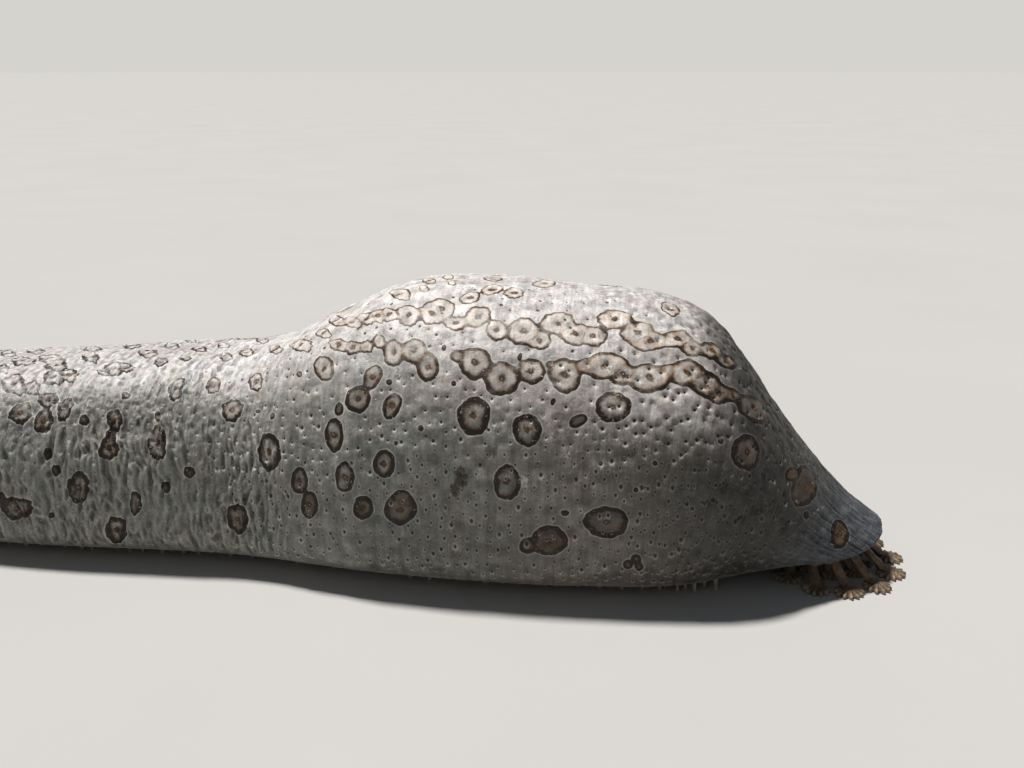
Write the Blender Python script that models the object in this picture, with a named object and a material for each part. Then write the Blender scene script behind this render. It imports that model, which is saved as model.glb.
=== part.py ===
import math
import random

import bpy
import numpy as np

# Ocellated sea cucumber (Bohadschia argus) at life size, resting on a level floor.
# Lengths are millimetres until a mesh is made. X runs from the vent (-X) to the mouth (+X),
# the side seen in the picture faces -Y, and the floor is Z = 0.

MM = 0.001
AROUND = 60
RING_STEP = 9.0
CUT_GAP = 0.3
EDGE_STEPS = 721
PLACE_STEPS = 2001
SOLE_STEPS = 240
SEED = 4

# Each row is one cross-section through the body, from the vent to the mouth:
# sole x, sole z, back x, back z, half width, level of the widest point, roundness above and below.
SECTIONS = [
    (-212.5, 29.0, -210.5, 41.0, 6.0, 0.48, 2.0, 2.0),
    (-211.5, 22.0, -209.0, 47.0, 13.0, 0.46, 2.1, 2.1),
    (-208.5, 13.0, -205.5, 53.0, 22.5, 0.45, 2.2, 2.3),
    (-202.5, 6.0, -199.0, 57.0, 31.5, 0.44, 2.3, 2.6),
    (-191.5, 2.6, -188.5, 60.0, 38.5, 0.43, 2.4, 3.0),
    (-172.5, 2.0, -170.5, 63.5, 43.5, 0.42, 2.5, 3.5),
    (-137.5, 2.0, -137.5, 66.5, 47.0, 0.42, 2.7, 4.6),
    (-92.5, 2.0, -92.5, 69.5, 48.0, 0.42, 2.8, 4.8),
    (-50.5, 2.0, -50.5, 73.5, 47.5, 0.42, 2.7, 4.8),
    (-20.5, 2.0, -22.5, 77.5, 48.5, 0.41, 2.4, 4.8),
    (5.5, 2.0, 3.5, 90.0, 52.5, 0.41, 2.3, 4.9),
    (32.5, 2.0, 31.5, 102.0, 56.0, 0.41, 2.2, 5.0),
    (62.5, 2.0, 63.5, 104.0, 57.5, 0.41, 2.2, 5.2),
    (92.5, 2.0, 94.5, 101.0, 58.0, 0.41, 2.2, 5.2),
    (114.5, 2.0, 117.5, 98.5, 57.0, 0.41, 2.2, 5.0),
    (127.5, 2.0, 137.5, 90.5, 55.0, 0.42, 2.2, 4.6),
    (137.5, 2.0, 153.0, 74.5, 51.5, 0.43, 2.2, 4.0),
    (145.5, 2.2, 166.5, 55.5, 47.0, 0.45, 2.1, 3.3),
    (152.0, 2.9, 179.0, 38.0, 41.5, 0.47, 2.1, 2.7),
    (157.0, 4.6, 191.5, 25.0, 34.5, 0.49, 2.1, 2.3),
    (161.0, 7.0, 203.5, 16.5, 27.5, 0.50, 2.1, 2.1),
]

# The middle line of the body seen from above, as x and y.
MIDDLE_LINE = [
    (-232.5, 41.5), (-172.5, 27.5), (-122.5, 19.0), (-72.5, 12.5), (-24.5, 6.5),
    (27.5, -3.5), (67.5, -8.5), (112.5, -13.0), (157.5, -20.5), (207.5, -32.5),
]

# The body is cut across at these x, and each length is a node.
CUTS = [-150.0, -75.0, -20.0, 45.0, 105.0]
LENGTH_NAMES = ["anal_end", "hind_body", "waist", "hump", "fore_body", "head_end"]

# Vent: a raised rim, a pit and five groups of three small papillae.
VENT_RING_RADIUS = 6.0
VENT_RIM_RADIUS = 4.9
VENT_RIM_LIFT = 0.8
VENT_THROAT_RADIUS = 3.6
VENT_THROAT_START = 1.2
VENT_DEPTH = 9.0
VENT_GROUPS = 5
VENT_GROUP_SPREAD = 0.17
VENT_PAPILLA_LENGTH = 2.6
VENT_PAPILLA_RADIUS = 1.04
VENT_PAPILLA_ROOT = 2.2
VENT_PAPILLA_LEAN = 0.5
VENT_SIDE_PAPILLA = 0.75

# Tube feet of the sole: flat-ended pegs that stand on the floor.
FOOT_SIDES = 7
FOOT_RADIUS = 1.15
FOOT_TAPER = 0.85
FOOT_ROOT = 2.6
FOOT_LONGEST = 5.0
FOOT_SPACING_X = 11.5
FOOT_SPACING_Y = 14.5
FOOT_STAGGER = 0.22
FOOT_SCATTER = 2.0
FOOT_SPREAD = 0.74
FOOT_SIZES = (0.85, 1.15)
FOOT_EDGE_MARGIN = 2.5
FEET_START_X = -199.0
FEET_STOP_X = 139.0
CUT_MARGIN = 0.5

# Papillae of the back: small low cones.
PAPILLA_SIDES = 5
PAPILLA_RADIUS = 1.0
PAPILLA_HEIGHT = 1.7
PAPILLA_ROOT = 1.6
PAPILLA_COUNT = 72
PAPILLA_ARC = 0.3
PAPILLA_SIZES = (0.8, 1.15)
PAPILLA_CUT_MARGIN = 4.0
PAPILLA_VENT_MARGIN = 14.0
PAPILLA_MOUTH_MARGIN = 22.0

# Mouth end: the lip, the recess inside it, and the disc that lies in the recess.
LIP_LIFT = 1.0
LIP_WIDTH = 3.6
LIP_CREST = 0.42
LIP_INNER_LIFT = 0.2
RECESS_DEPTH = 2.6
DISC_THICKNESS = 1.9
DISC_MARGIN = 0.5
DISC_SWELL = 0.35
DISC_SWELL_PLACE = 0.55
MOUTH_RADIUS = 3.8
MOUTH_RIM_LIFT = 0.15
MOUTH_TAPER = 0.7
MOUTH_DEPTH = 1.3

# Tentacles: a short stalk and a lobed shield that lies flat on the floor.
# base is the stalk's share of the way out over the disc, lift its clearance over the disc's swell.
CROWN_CENTRE = (187.0, -27.3)
OUTER_CIRCLE = {
    "count": 12, "oval": (21.8, 27.0), "shield": 4.9, "stalk": 1.7,
    "base": 0.70, "lift": 0.25, "shift": 0.0,
}
INNER_CIRCLE = {
    "count": 8, "oval": (11.4, 13.4), "shield": 3.6, "stalk": 1.4,
    "base": 0.38, "lift": 0.35, "shift": 0.5,
}
STALK_KNEE = 0.45
STALK_BOW = 0.6
STALK_SHORTEST = 3.0
STALK_WAIST = 0.92
NECK_SHARE = 0.75
NECK_HEIGHT = 2.65
NECK_FLARE = 1.25
SHIELD_THICKNESS = 2.3
SHIELD_POINTS = 14
SHIELD_TOP = (0.72, 0.82)
SHIELD_EDGE_LEVEL = 0.42
SHIELD_UNDERSIDE = 0.9
LOBE_DEPTH = 0.16

SKIN_COLOUR = (0.30, 0.27, 0.24)
DISC_COLOUR = (0.16, 0.12, 0.09)
TENTACLE_COLOUR = (0.22, 0.17, 0.12)


def through(knots, values, at):
    """Smooth curve through the values given at the knots."""
    knots = np.asarray(knots, float)
    values = np.asarray(values, float)
    at = np.atleast_1d(np.asarray(at, float))
    slope = np.gradient(values, knots, axis=0)
    i = np.clip(np.searchsorted(knots, at) - 1, 0, len(knots) - 2)
    h = knots[i + 1] - knots[i]
    t = (at - knots[i]) / h
    a = 2 * t**3 - 3 * t**2 + 1
    b = (t**3 - 2 * t**2 + t) * h
    c = 3 * t**2 - 2 * t**3
    d = (t**3 - t**2) * h
    if values.ndim > 1:
        a, b, c, d = a[:, None], b[:, None], c[:, None], d[:, None]
    return a * values[i] + b * slope[i] + c * values[i + 1] + d * slope[i + 1]


ROWS = np.array(SECTIONS)
MIDDLE = np.array(MIDDLE_LINE)


def row_places():
    """Distance of each row along the body."""
    back = np.hypot(np.diff(ROWS[:, 2]), np.diff(ROWS[:, 3]))
    middle = (ROWS[:, 0:2] + ROWS[:, 2:4]) / 2
    core = np.hypot(np.diff(middle[:, 0]), np.diff(middle[:, 1]))
    return np.concatenate([[0.0], np.cumsum((back + core) / 2)])


PLACES = row_places()
BODY_LENGTH = PLACES[-1]


def middle_y(x):
    return through(MIDDLE[:, 0], MIDDLE[:, 1], x)


def frame_at(place):
    """Centre, up, down and side vectors of the section at a place, and its two roundness values."""
    sole_x, sole_z, back_x, back_z, half, level, above, below = through(PLACES, ROWS, place)[0]
    sole = np.array([sole_x, middle_y(sole_x)[0], sole_z])
    back = np.array([back_x, middle_y(back_x)[0], back_z])
    x = (sole_x + back_x) / 2
    slope = (middle_y(x + 1.0)[0] - middle_y(x - 1.0)[0]) / 2
    side = np.array([slope, -1.0, 0.0])
    side /= np.linalg.norm(side)
    centre = sole + level * (back - sole)
    return centre, back - centre, sole - centre, side * half, above, below


def ring_at(place, around=AROUND):
    """Points of one section, evenly spaced along its edge and starting at the back."""
    centre, up, down, side, above, below = frame_at(place)
    turn = np.linspace(0.0, 2 * np.pi, EDGE_STEPS)
    cosine, sine = np.cos(turn), np.sin(turn)
    power = 2.0 / np.where(cosine > 0, above, below)
    across = np.sign(sine) * np.abs(sine) ** power
    height = np.sign(cosine) * np.abs(cosine) ** power
    reach = np.where(height > 0, np.linalg.norm(up), np.linalg.norm(down)) * height
    steps = np.hypot(np.diff(across) * np.linalg.norm(side), np.diff(reach))
    edge = np.concatenate([[0.0], np.cumsum(steps)])
    want = np.linspace(0.0, edge[-1], around + 1)[:-1]
    across = np.interp(want, edge, across)
    height = np.interp(want, edge, height)
    lift = np.where(height > 0, height, 0.0)[:, None] * up
    drop = np.where(height < 0, -height, 0.0)[:, None] * down
    return centre + across[:, None] * side + lift + drop


def place_of(x):
    """Place along the body whose section has its middle at x."""
    grid = np.linspace(0.0, BODY_LENGTH, PLACE_STEPS)
    rows = through(PLACES, ROWS, grid)
    return float(np.interp(x, (rows[:, 0] + rows[:, 2]) / 2, grid))


def sole_place_of(x):
    """Place along the body whose section meets the sole at x."""
    grid = np.linspace(0.0, BODY_LENGTH, PLACE_STEPS)
    rows = through(PLACES, ROWS, grid)
    return float(np.interp(x, rows[:, 0], grid))


def sole_height(x, offset):
    """Height of the underside at x, this far to the side of the middle line."""
    ring = ring_at(sole_place_of(x), SOLE_STEPS)
    under = ring[SOLE_STEPS // 4:SOLE_STEPS * 3 // 4 + 1]
    sideways = under[:, 1] - middle_y(x)[0]
    order = np.argsort(sideways)
    return float(np.interp(offset, sideways[order], under[order, 2]))


def normal_of(place):
    """Direction along the body, square to the section at a place."""
    _, up, _, side, _, _ = frame_at(place)
    normal = np.cross(up, side)
    normal /= np.linalg.norm(normal)
    return normal if normal[0] - normal[2] > 0 else -normal


def clear_scene():
    for obj in list(bpy.data.objects):
        bpy.data.objects.remove(obj, do_unlink=True)


def material(name, colour, roughness):
    made = bpy.data.materials.new(name)
    made.use_nodes = True
    shader = made.node_tree.nodes["Principled BSDF"]
    shader.inputs["Base Color"].default_value = (*colour, 1.0)
    shader.inputs["Roughness"].default_value = roughness
    made.diffuse_color = (*colour, 1.0)
    return made


def mesh_from_rings(name, rings):
    """Closed mesh through rings of equal length, with a fan of triangles over each end."""
    count = len(rings[0])
    points = np.concatenate([*rings, rings[0].mean(axis=0)[None], rings[-1].mean(axis=0)[None]])
    first, last = len(points) - 2, len(points) - 1
    faces = []
    for k in range(len(rings) - 1):
        for j in range(count):
            n = (j + 1) % count
            a, b = k * count + j, k * count + n
            faces.append((a, b, b + count, a + count))
    end = (len(rings) - 1) * count
    for j in range(count):
        n = (j + 1) % count
        faces.append((n, j, first))
        faces.append((end + j, end + n, last))
    return mesh_of(name, points, faces)


def mesh_of(name, points, faces):
    """Mesh of the points and faces, turned so that its faces look outwards."""
    volume = 0.0
    for face in faces:
        for k in range(1, len(face) - 1):
            a, b, c = points[face[0]], points[face[k]], points[face[k + 1]]
            volume += float(np.dot(a, np.cross(b, c)))
    if volume < 0:
        faces = [tuple(reversed(face)) for face in faces]
    mesh = bpy.data.meshes.new(name)
    mesh.from_pydata([tuple(p) for p in np.asarray(points) * MM], [], faces)
    mesh.update()
    return mesh


def add_object(name, mesh, look):
    obj = bpy.data.objects.new(name, mesh)
    bpy.context.scene.collection.objects.link(obj)
    obj.data.materials.append(look)
    return obj


def peg(base, tip, radius, tip_radius, sides, turn):
    """Closed prism from base to tip, as points and faces."""
    axis = tip - base
    axis = axis / np.linalg.norm(axis)
    helper = np.array([1.0, 0.0, 0.0]) if abs(axis[0]) < 0.8 else np.array([0.0, 1.0, 0.0])
    one = np.cross(axis, helper)
    one /= np.linalg.norm(one)
    two = np.cross(axis, one)
    points = []
    for centre, size in ((base, radius), (tip, tip_radius)):
        for j in range(sides):
            angle = turn + 2 * math.pi * j / sides
            points.append(centre + size * (math.cos(angle) * one + math.sin(angle) * two))
    faces = [tuple(range(sides - 1, -1, -1)), tuple(range(sides, 2 * sides))]
    for j in range(sides):
        n = (j + 1) % sides
        faces.append((j, n, n + sides, j + sides))
    return np.array(points), faces


def cone(base, tip, radius, sides, turn):
    """Closed cone from base to tip, as points and faces."""
    points, _ = peg(base, tip, radius, radius, sides, turn)
    points = np.concatenate([points[:sides], tip[None]])
    faces = [tuple(range(sides - 1, -1, -1))]
    for j in range(sides):
        faces.append((j, (j + 1) % sides, sides))
    return points, faces


def fuse(obj, pieces):
    """Joins the pieces to the object as one closed surface."""
    group = bpy.data.collections.new(obj.name + "_pieces")
    bpy.context.scene.collection.children.link(group)
    helpers = []
    for points, faces in pieces:
        mesh = mesh_of("piece", points, faces)
        helper = bpy.data.objects.new("piece", mesh)
        group.objects.link(helper)
        helpers.append(helper)
    union = obj.modifiers.new("union", "BOOLEAN")
    union.operation = "UNION"
    union.operand_type = "COLLECTION"
    union.collection = group
    union.solver = "MANIFOLD"
    bpy.context.view_layer.update()
    graph = bpy.context.evaluated_depsgraph_get()
    joined = bpy.data.meshes.new_from_object(obj.evaluated_get(graph))
    obj.modifiers.clear()
    obj.data = joined
    for helper in helpers:
        bpy.data.objects.remove(helper, do_unlink=True)
    bpy.data.collections.remove(group)


def length_rings(start, stop):
    """Evenly spaced rings from one place to another."""
    count = max(2, int(round((stop - start) / RING_STEP)) + 1)
    return [ring_at(place) for place in np.linspace(start, stop, count)]


def vent_rings():
    """Rings of the vent, from the bottom of its pit out to the rim."""
    rim = ring_at(0.0)
    centre = rim.mean(axis=0)
    inward = normal_of(0.0)
    throat = centre + (rim - centre) * (VENT_THROAT_RADIUS / VENT_RING_RADIUS)
    lip = centre + (rim - centre) * (VENT_RIM_RADIUS / VENT_RING_RADIUS)
    return [throat + inward * VENT_DEPTH, throat + inward * VENT_THROAT_START, lip - inward * VENT_RIM_LIFT]


def vent_papillae(rng):
    """Five groups of small papillae round the vent."""
    rim = ring_at(0.0)
    centre = rim.mean(axis=0)
    outward = -normal_of(0.0)
    pieces = []
    for group in range(VENT_GROUPS):
        for member in (-1, 0, 1):
            share = (group + 0.5 + member * VENT_GROUP_SPREAD) / VENT_GROUPS
            spoke = rim[int(share * AROUND) % AROUND] - centre
            size = 1.0 if member == 0 else VENT_SIDE_PAPILLA
            base = centre + spoke - outward * VENT_PAPILLA_ROOT
            lean = spoke / np.linalg.norm(spoke) * VENT_PAPILLA_LEAN
            tip = centre + spoke + (outward + lean) * VENT_PAPILLA_LENGTH * size
            pieces.append(cone(base, tip, VENT_PAPILLA_RADIUS, PAPILLA_SIDES, rng.random()))
    return pieces


def foot_pieces(start_x, stop_x, rng):
    """Tube feet between two x, in staggered rows over the sole."""
    pieces = []
    columns = max(1, int((stop_x - start_x) / FOOT_SPACING_X))
    for column in range(columns):
        x = start_x + (column + 0.5) * (stop_x - start_x) / columns
        half = through(PLACES, ROWS, sole_place_of(x))[0][4] * FOOT_SPREAD
        lanes = max(2, int(2 * half / FOOT_SPACING_Y) + 1)
        for lane in range(lanes):
            share = (lane + 0.5 + (FOOT_STAGGER if column % 2 else -FOOT_STAGGER)) / lanes
            offset = -half + 2 * half * share + rng.uniform(-1, 1) * FOOT_SCATTER
            px = x + rng.uniform(-1, 1) * FOOT_SCATTER
            px = min(max(px, start_x + FOOT_EDGE_MARGIN), stop_x - FOOT_EDGE_MARGIN)
            radius = FOOT_RADIUS * rng.uniform(*FOOT_SIZES)
            root = sole_height(px, offset)
            if root > FOOT_LONGEST:
                continue
            y = middle_y(px)[0] + offset
            base = np.array([px, y, root + FOOT_ROOT])
            tip = np.array([px, y, 0.0])
            pieces.append(peg(base, tip, radius * FOOT_TAPER, radius, FOOT_SIDES, rng.random()))
    return pieces


def papilla_pieces(start, stop, count, rng):
    """Small cones over the back and upper flanks between two places."""
    pieces = []
    for _ in range(count):
        place = rng.uniform(start + PAPILLA_CUT_MARGIN, stop - PAPILLA_CUT_MARGIN)
        ring = ring_at(place)
        index = int(rng.uniform(-PAPILLA_ARC, PAPILLA_ARC) * AROUND) % AROUND
        spot = ring[index]
        across = ring[(index + 1) % AROUND] - ring[index - 1]
        along = ring_at(place + 1.0)[index] - ring_at(place - 1.0)[index]
        out = np.cross(across, along)
        out /= np.linalg.norm(out)
        if np.dot(out, spot - ring.mean(axis=0)) < 0:
            out = -out
        size = rng.uniform(*PAPILLA_SIZES)
        base = spot - out * PAPILLA_ROOT
        tip = spot + out * PAPILLA_HEIGHT * size
        width = PAPILLA_RADIUS * size * (PAPILLA_HEIGHT + PAPILLA_ROOT) / PAPILLA_HEIGHT
        pieces.append(cone(base, tip, width, PAPILLA_SIDES, rng.random() * 2 * math.pi))
    return pieces


def mouth_rings():
    """Rings of the lip round the mouth disc, ending at the floor of its recess."""
    edge = ring_at(BODY_LENGTH)
    centre = edge.mean(axis=0)
    out = normal_of(BODY_LENGTH)
    spoke = edge - centre
    size = np.linalg.norm(spoke, axis=1)[:, None]
    crest = centre + spoke * (1 - LIP_CREST * LIP_WIDTH / size) + out * LIP_LIFT
    inner = centre + spoke * (1 - LIP_WIDTH / size)
    floor = inner - out * RECESS_DEPTH
    return [crest, inner + out * LIP_INNER_LIFT, floor]


def disc_mesh():
    """Mouth disc: a thin oval plate with a dished mouth."""
    floor = mouth_rings()[-1]
    centre = floor.mean(axis=0)
    out = normal_of(BODY_LENGTH)
    spoke = floor - centre
    size = np.linalg.norm(spoke, axis=1)[:, None]
    rim = centre + spoke * (1 - DISC_MARGIN / size) + out * CUT_GAP
    face = rim + out * DISC_THICKNESS
    top = CUT_GAP + DISC_THICKNESS
    inner = centre + spoke * DISC_SWELL_PLACE + out * (top + DISC_SWELL)
    mouth = centre + spoke / size * MOUTH_RADIUS + out * (top + MOUTH_RIM_LIFT)
    throat = centre + spoke / size * MOUTH_RADIUS * MOUTH_TAPER + out * (top - MOUTH_DEPTH)
    every = slice(None, None, 2)
    return mesh_from_rings("mouth_disc", [r[every] for r in (rim, face, inner, mouth, throat)])


def tentacle_mesh(name, angle, circle_of, rng):
    """A stalk that comes down from the mouth disc and spreads into a lobed shield on the floor."""
    floor = mouth_rings()[-1]
    centre = floor.mean(axis=0)
    out = normal_of(BODY_LENGTH)
    _, up, _, side, _, _ = frame_at(BODY_LENGTH)
    reach_x, reach_y = np.linalg.norm(up) - LIP_WIDTH, np.linalg.norm(side) - LIP_WIDTH
    forward, side = up / np.linalg.norm(up), side / np.linalg.norm(side)
    sideways = math.cos(angle) * reach_x * forward + math.sin(angle) * reach_y * side
    foot = centre + circle_of["base"] * sideways + out * (2 * CUT_GAP + DISC_THICKNESS + circle_of["lift"])
    heading = np.array([-side[1], side[0], 0.0])
    oval_x, oval_y = circle_of["oval"]
    pad = np.array([*CROWN_CENTRE, 0.0])
    pad += math.cos(angle) * oval_x * heading + math.sin(angle) * oval_y * side
    points = SHIELD_POINTS
    turn = rng.uniform(0, 2 * math.pi)
    turns = turn + np.arange(points) * 2 * math.pi / points
    lobes = 1 + LOBE_DEPTH * np.where(np.arange(points) % 2 == 0, 1.0, -1.0)
    circle = np.stack([np.cos(turns), np.sin(turns), np.zeros(points)], axis=1)
    tilt = circle - np.outer(circle @ out, out)
    stalk, shield = circle_of["stalk"], circle_of["shield"]
    rings = [foot + tilt * stalk]
    neck = np.array([*(pad[:2] * NECK_SHARE + foot[:2] * (1 - NECK_SHARE)), NECK_HEIGHT])
    if foot[2] - neck[2] > STALK_SHORTEST:
        knee = foot * (1 - STALK_KNEE) + neck * STALK_KNEE + out * STALK_BOW
        rings.append(knee + (tilt + circle) / 2 * stalk * STALK_WAIST)
    rings.append(neck + circle * stalk * NECK_FLARE)
    top_size, top_level = SHIELD_TOP
    rings.append(pad + circle * shield * top_size + np.array([0, 0, SHIELD_THICKNESS * top_level]))
    edge = circle * (shield * lobes)[:, None]
    rings.append(pad + edge + np.array([0, 0, SHIELD_THICKNESS * SHIELD_EDGE_LEVEL]))
    rings.append(pad + edge * SHIELD_UNDERSIDE)
    return mesh_from_rings(name, rings)


def body_length(index, name, rng):
    """One length of the body between two cuts, with the vent or the lip where it has one."""
    edges = [0.0] + [place_of(x) for x in CUTS] + [BODY_LENGTH]
    start = edges[index] + (CUT_GAP / 2 if index else 0.0)
    stop = edges[index + 1] - (CUT_GAP / 2 if index < len(CUTS) else 0.0)
    if index == 0:
        rings = vent_rings() + [ring_at(place) for place in PLACES[0:5]]
        rings += length_rings((PLACES[4] + PLACES[5]) / 2, stop)
    else:
        rings = length_rings(start, stop)
    if index == len(CUTS):
        rings = rings + mouth_rings()
    look = material("skin_" + name, SKIN_COLOUR, 0.6)
    obj = add_object(name, mesh_from_rings(name, rings), look)
    bounds = [FEET_START_X] + CUTS + [FEET_STOP_X]
    pieces = foot_pieces(bounds[index] + CUT_MARGIN, bounds[index + 1] - CUT_MARGIN, rng)
    low, high = max(start, PAPILLA_VENT_MARGIN), min(stop, BODY_LENGTH - PAPILLA_MOUTH_MARGIN)
    pieces += papilla_pieces(low, high, int(round((high - low) * PAPILLA_COUNT / BODY_LENGTH)), rng)
    if index == 0:
        pieces += vent_papillae(rng)
    fuse(obj, pieces)
    obj.data.materials.clear()
    obj.data.materials.append(look)


def build():
    clear_scene()
    rng = random.Random(SEED)
    for index, name in enumerate(LENGTH_NAMES):
        body_length(index, name, rng)
    add_object("mouth_disc", disc_mesh(), material("oral_disc", DISC_COLOUR, 0.5))
    number = 0
    for circle_of in (OUTER_CIRCLE, INNER_CIRCLE):
        for k in range(circle_of["count"]):
            number += 1
            name = "tentacle_%02d" % number
            angle = 2 * math.pi * (k + 0.5 + circle_of["shift"]) / circle_of["count"]
            mesh = tentacle_mesh(name, angle, circle_of, rng)
            add_object(name, mesh, material("skin_" + name, TENTACLE_COLOUR, 0.55))


build()
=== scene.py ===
import math
import random
import time

import bpy
import numpy as np
from numpy.linalg import norm
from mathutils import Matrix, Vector, kdtree
from mathutils.bvhtree import BVHTree


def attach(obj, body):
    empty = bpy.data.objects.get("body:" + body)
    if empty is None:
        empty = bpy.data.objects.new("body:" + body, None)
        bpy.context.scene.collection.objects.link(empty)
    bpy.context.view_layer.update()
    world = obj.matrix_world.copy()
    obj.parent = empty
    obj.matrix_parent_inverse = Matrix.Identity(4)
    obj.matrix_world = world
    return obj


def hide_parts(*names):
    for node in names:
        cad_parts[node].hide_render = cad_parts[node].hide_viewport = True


startTime = time.time()
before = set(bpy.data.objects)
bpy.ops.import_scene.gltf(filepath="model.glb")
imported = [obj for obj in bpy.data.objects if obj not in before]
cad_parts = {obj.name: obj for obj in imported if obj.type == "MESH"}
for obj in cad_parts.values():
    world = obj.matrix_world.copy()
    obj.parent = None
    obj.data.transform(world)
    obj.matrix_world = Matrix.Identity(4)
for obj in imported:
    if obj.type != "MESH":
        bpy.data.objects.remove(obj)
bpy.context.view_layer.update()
mm = 0.001  # shapes below are worked out in millimetres and made in metres


def unit(vector):
    return vector / norm(vector)


def report(text):
    print("%5.1f s  %s" % (time.time() - startTime, text))


# The camera stands where the photo was taken: level across, looking along +Y and a little down.
camera = {
    "place": (67.5, -404.5, 178.8),
    "pitchDown": 16.2,
    "focalPixels": 1098.0,
    "imageSize": (1024, 768),
}

# The body, as in the part's source: one row for each cross-section from the vent to the mouth.
# sole x, sole z, back x, back z, half width, level of the widest point, roundness above and below
body = {
    "sections": [
        (-212.5, 29.0, -210.5, 41.0, 6.0, 0.48, 2.0, 2.0),
        (-211.5, 22.0, -209.0, 47.0, 13.0, 0.46, 2.1, 2.1),
        (-208.5, 13.0, -205.5, 53.0, 22.5, 0.45, 2.2, 2.3),
        (-202.5, 6.0, -199.0, 57.0, 31.5, 0.44, 2.3, 2.6),
        (-191.5, 2.6, -188.5, 60.0, 38.5, 0.43, 2.4, 3.0),
        (-172.5, 2.0, -170.5, 63.5, 43.5, 0.42, 2.5, 3.5),
        (-137.5, 2.0, -137.5, 66.5, 47.0, 0.42, 2.7, 4.6),
        (-92.5, 2.0, -92.5, 69.5, 48.0, 0.42, 2.8, 4.8),
        (-50.5, 2.0, -50.5, 73.5, 47.5, 0.42, 2.7, 4.8),
        (-20.5, 2.0, -22.5, 77.5, 48.5, 0.41, 2.4, 4.8),
        (5.5, 2.0, 3.5, 90.0, 52.5, 0.41, 2.3, 4.9),
        (32.5, 2.0, 31.5, 102.0, 56.0, 0.41, 2.2, 5.0),
        (62.5, 2.0, 63.5, 104.0, 57.5, 0.41, 2.2, 5.2),
        (92.5, 2.0, 94.5, 101.0, 58.0, 0.41, 2.2, 5.2),
        (114.5, 2.0, 117.5, 98.5, 57.0, 0.41, 2.2, 5.0),
        (127.5, 2.0, 137.5, 90.5, 55.0, 0.42, 2.2, 4.6),
        (137.5, 2.0, 153.0, 74.5, 51.5, 0.43, 2.2, 4.0),
        (145.5, 2.2, 166.5, 55.5, 47.0, 0.45, 2.1, 3.3),
        (152.0, 2.9, 179.0, 38.0, 41.5, 0.47, 2.1, 2.7),
        (157.0, 4.6, 191.5, 25.0, 34.5, 0.49, 2.1, 2.3),
        (161.0, 7.0, 203.5, 16.5, 27.5, 0.50, 2.1, 2.1),
    ],
    "middleLine": [
        (-232.5, 41.5), (-172.5, 27.5), (-122.5, 19.0), (-72.5, 12.5), (-24.5, 6.5),
        (27.5, -3.5), (67.5, -8.5), (112.5, -13.0), (157.5, -20.5), (207.5, -32.5),
    ],
    "ringsAlong": 1080,
    "pointsAround": 700,
}


def smoothThrough(knots, values, at):
    # smooth curve through the values given at the knots
    knots, values = np.asarray(knots, float), np.asarray(values, float)
    at = np.atleast_1d(np.asarray(at, float))
    slope = np.gradient(values, knots, axis=0)
    i = np.clip(np.searchsorted(knots, at) - 1, 0, len(knots) - 2)
    h = knots[i + 1] - knots[i]
    t = (at - knots[i]) / h
    weights = [2 * t**3 - 3 * t**2 + 1, (t**3 - 2 * t**2 + t) * h, 3 * t**2 - 2 * t**3, (t**3 - t**2) * h]
    if values.ndim > 1:
        weights = [w[:, None] for w in weights]
    a, b, c, d = weights
    return a * values[i] + b * slope[i] + c * values[i + 1] + d * slope[i + 1]


sectionRows = np.array(body["sections"])
middleRows = np.array(body["middleLine"])


def rowPlaces():
    # distance of each row along the body, between that of its middle and that of its back
    back = np.hypot(np.diff(sectionRows[:, 2]), np.diff(sectionRows[:, 3]))
    middle = (sectionRows[:, 0:2] + sectionRows[:, 2:4]) / 2
    core = np.hypot(np.diff(middle[:, 0]), np.diff(middle[:, 1]))
    return np.concatenate([[0.0], np.cumsum((back + core) / 2)])


places = rowPlaces()
bodyLength = places[-1]


def middleY(x):
    return smoothThrough(middleRows[:, 0], middleRows[:, 1], x)


def sectionFrame(place):
    # centre, up, down and side vectors of the section at a place, and its roundness above and below
    row = smoothThrough(places, sectionRows, place)[0]
    sole = np.array([row[0], middleY(row[0])[0], row[1]])
    back = np.array([row[2], middleY(row[2])[0], row[3]])
    x = (row[0] + row[2]) / 2
    slope = (middleY(x + 1.0)[0] - middleY(x - 1.0)[0]) / 2
    side = unit(np.array([slope, -1.0, 0.0]))
    centre = sole + row[5] * (back - sole)
    return centre, back - centre, sole - centre, side * row[4], row[6], row[7]


def sectionRing(place, around):
    # points evenly spaced round one section, from the middle of the sole up the far side
    centre, up, down, side, above, below = sectionFrame(place)
    turn = np.linspace(np.pi, 3 * np.pi, 1441)
    cosine, sine = np.cos(turn), np.sin(turn)
    power = 2.0 / np.where(cosine > 0, above, below)
    across = np.sign(sine) * np.abs(sine) ** power
    height = np.sign(cosine) * np.abs(cosine) ** power
    reach = np.where(height > 0, norm(up), norm(down)) * height
    steps = np.hypot(np.diff(across) * norm(side), np.diff(reach))
    edge = np.concatenate([[0.0], np.cumsum(steps)])
    want = np.linspace(0.0, edge[-1], around + 1)[:-1]
    across, height = np.interp(want, edge, across), np.interp(want, edge, height)
    lift = np.where(height > 0, height, 0.0)[:, None] * up
    drop = np.where(height < 0, -height, 0.0)[:, None] * down
    return centre + across[:, None] * side + lift + drop, edge[-1]


def sectionNormal(place):
    # direction along the body, square to the section at a place
    _, up, _, side, _, _ = sectionFrame(place)
    return unit(np.cross(up, side))


# Noise and small helpers for arrays

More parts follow.
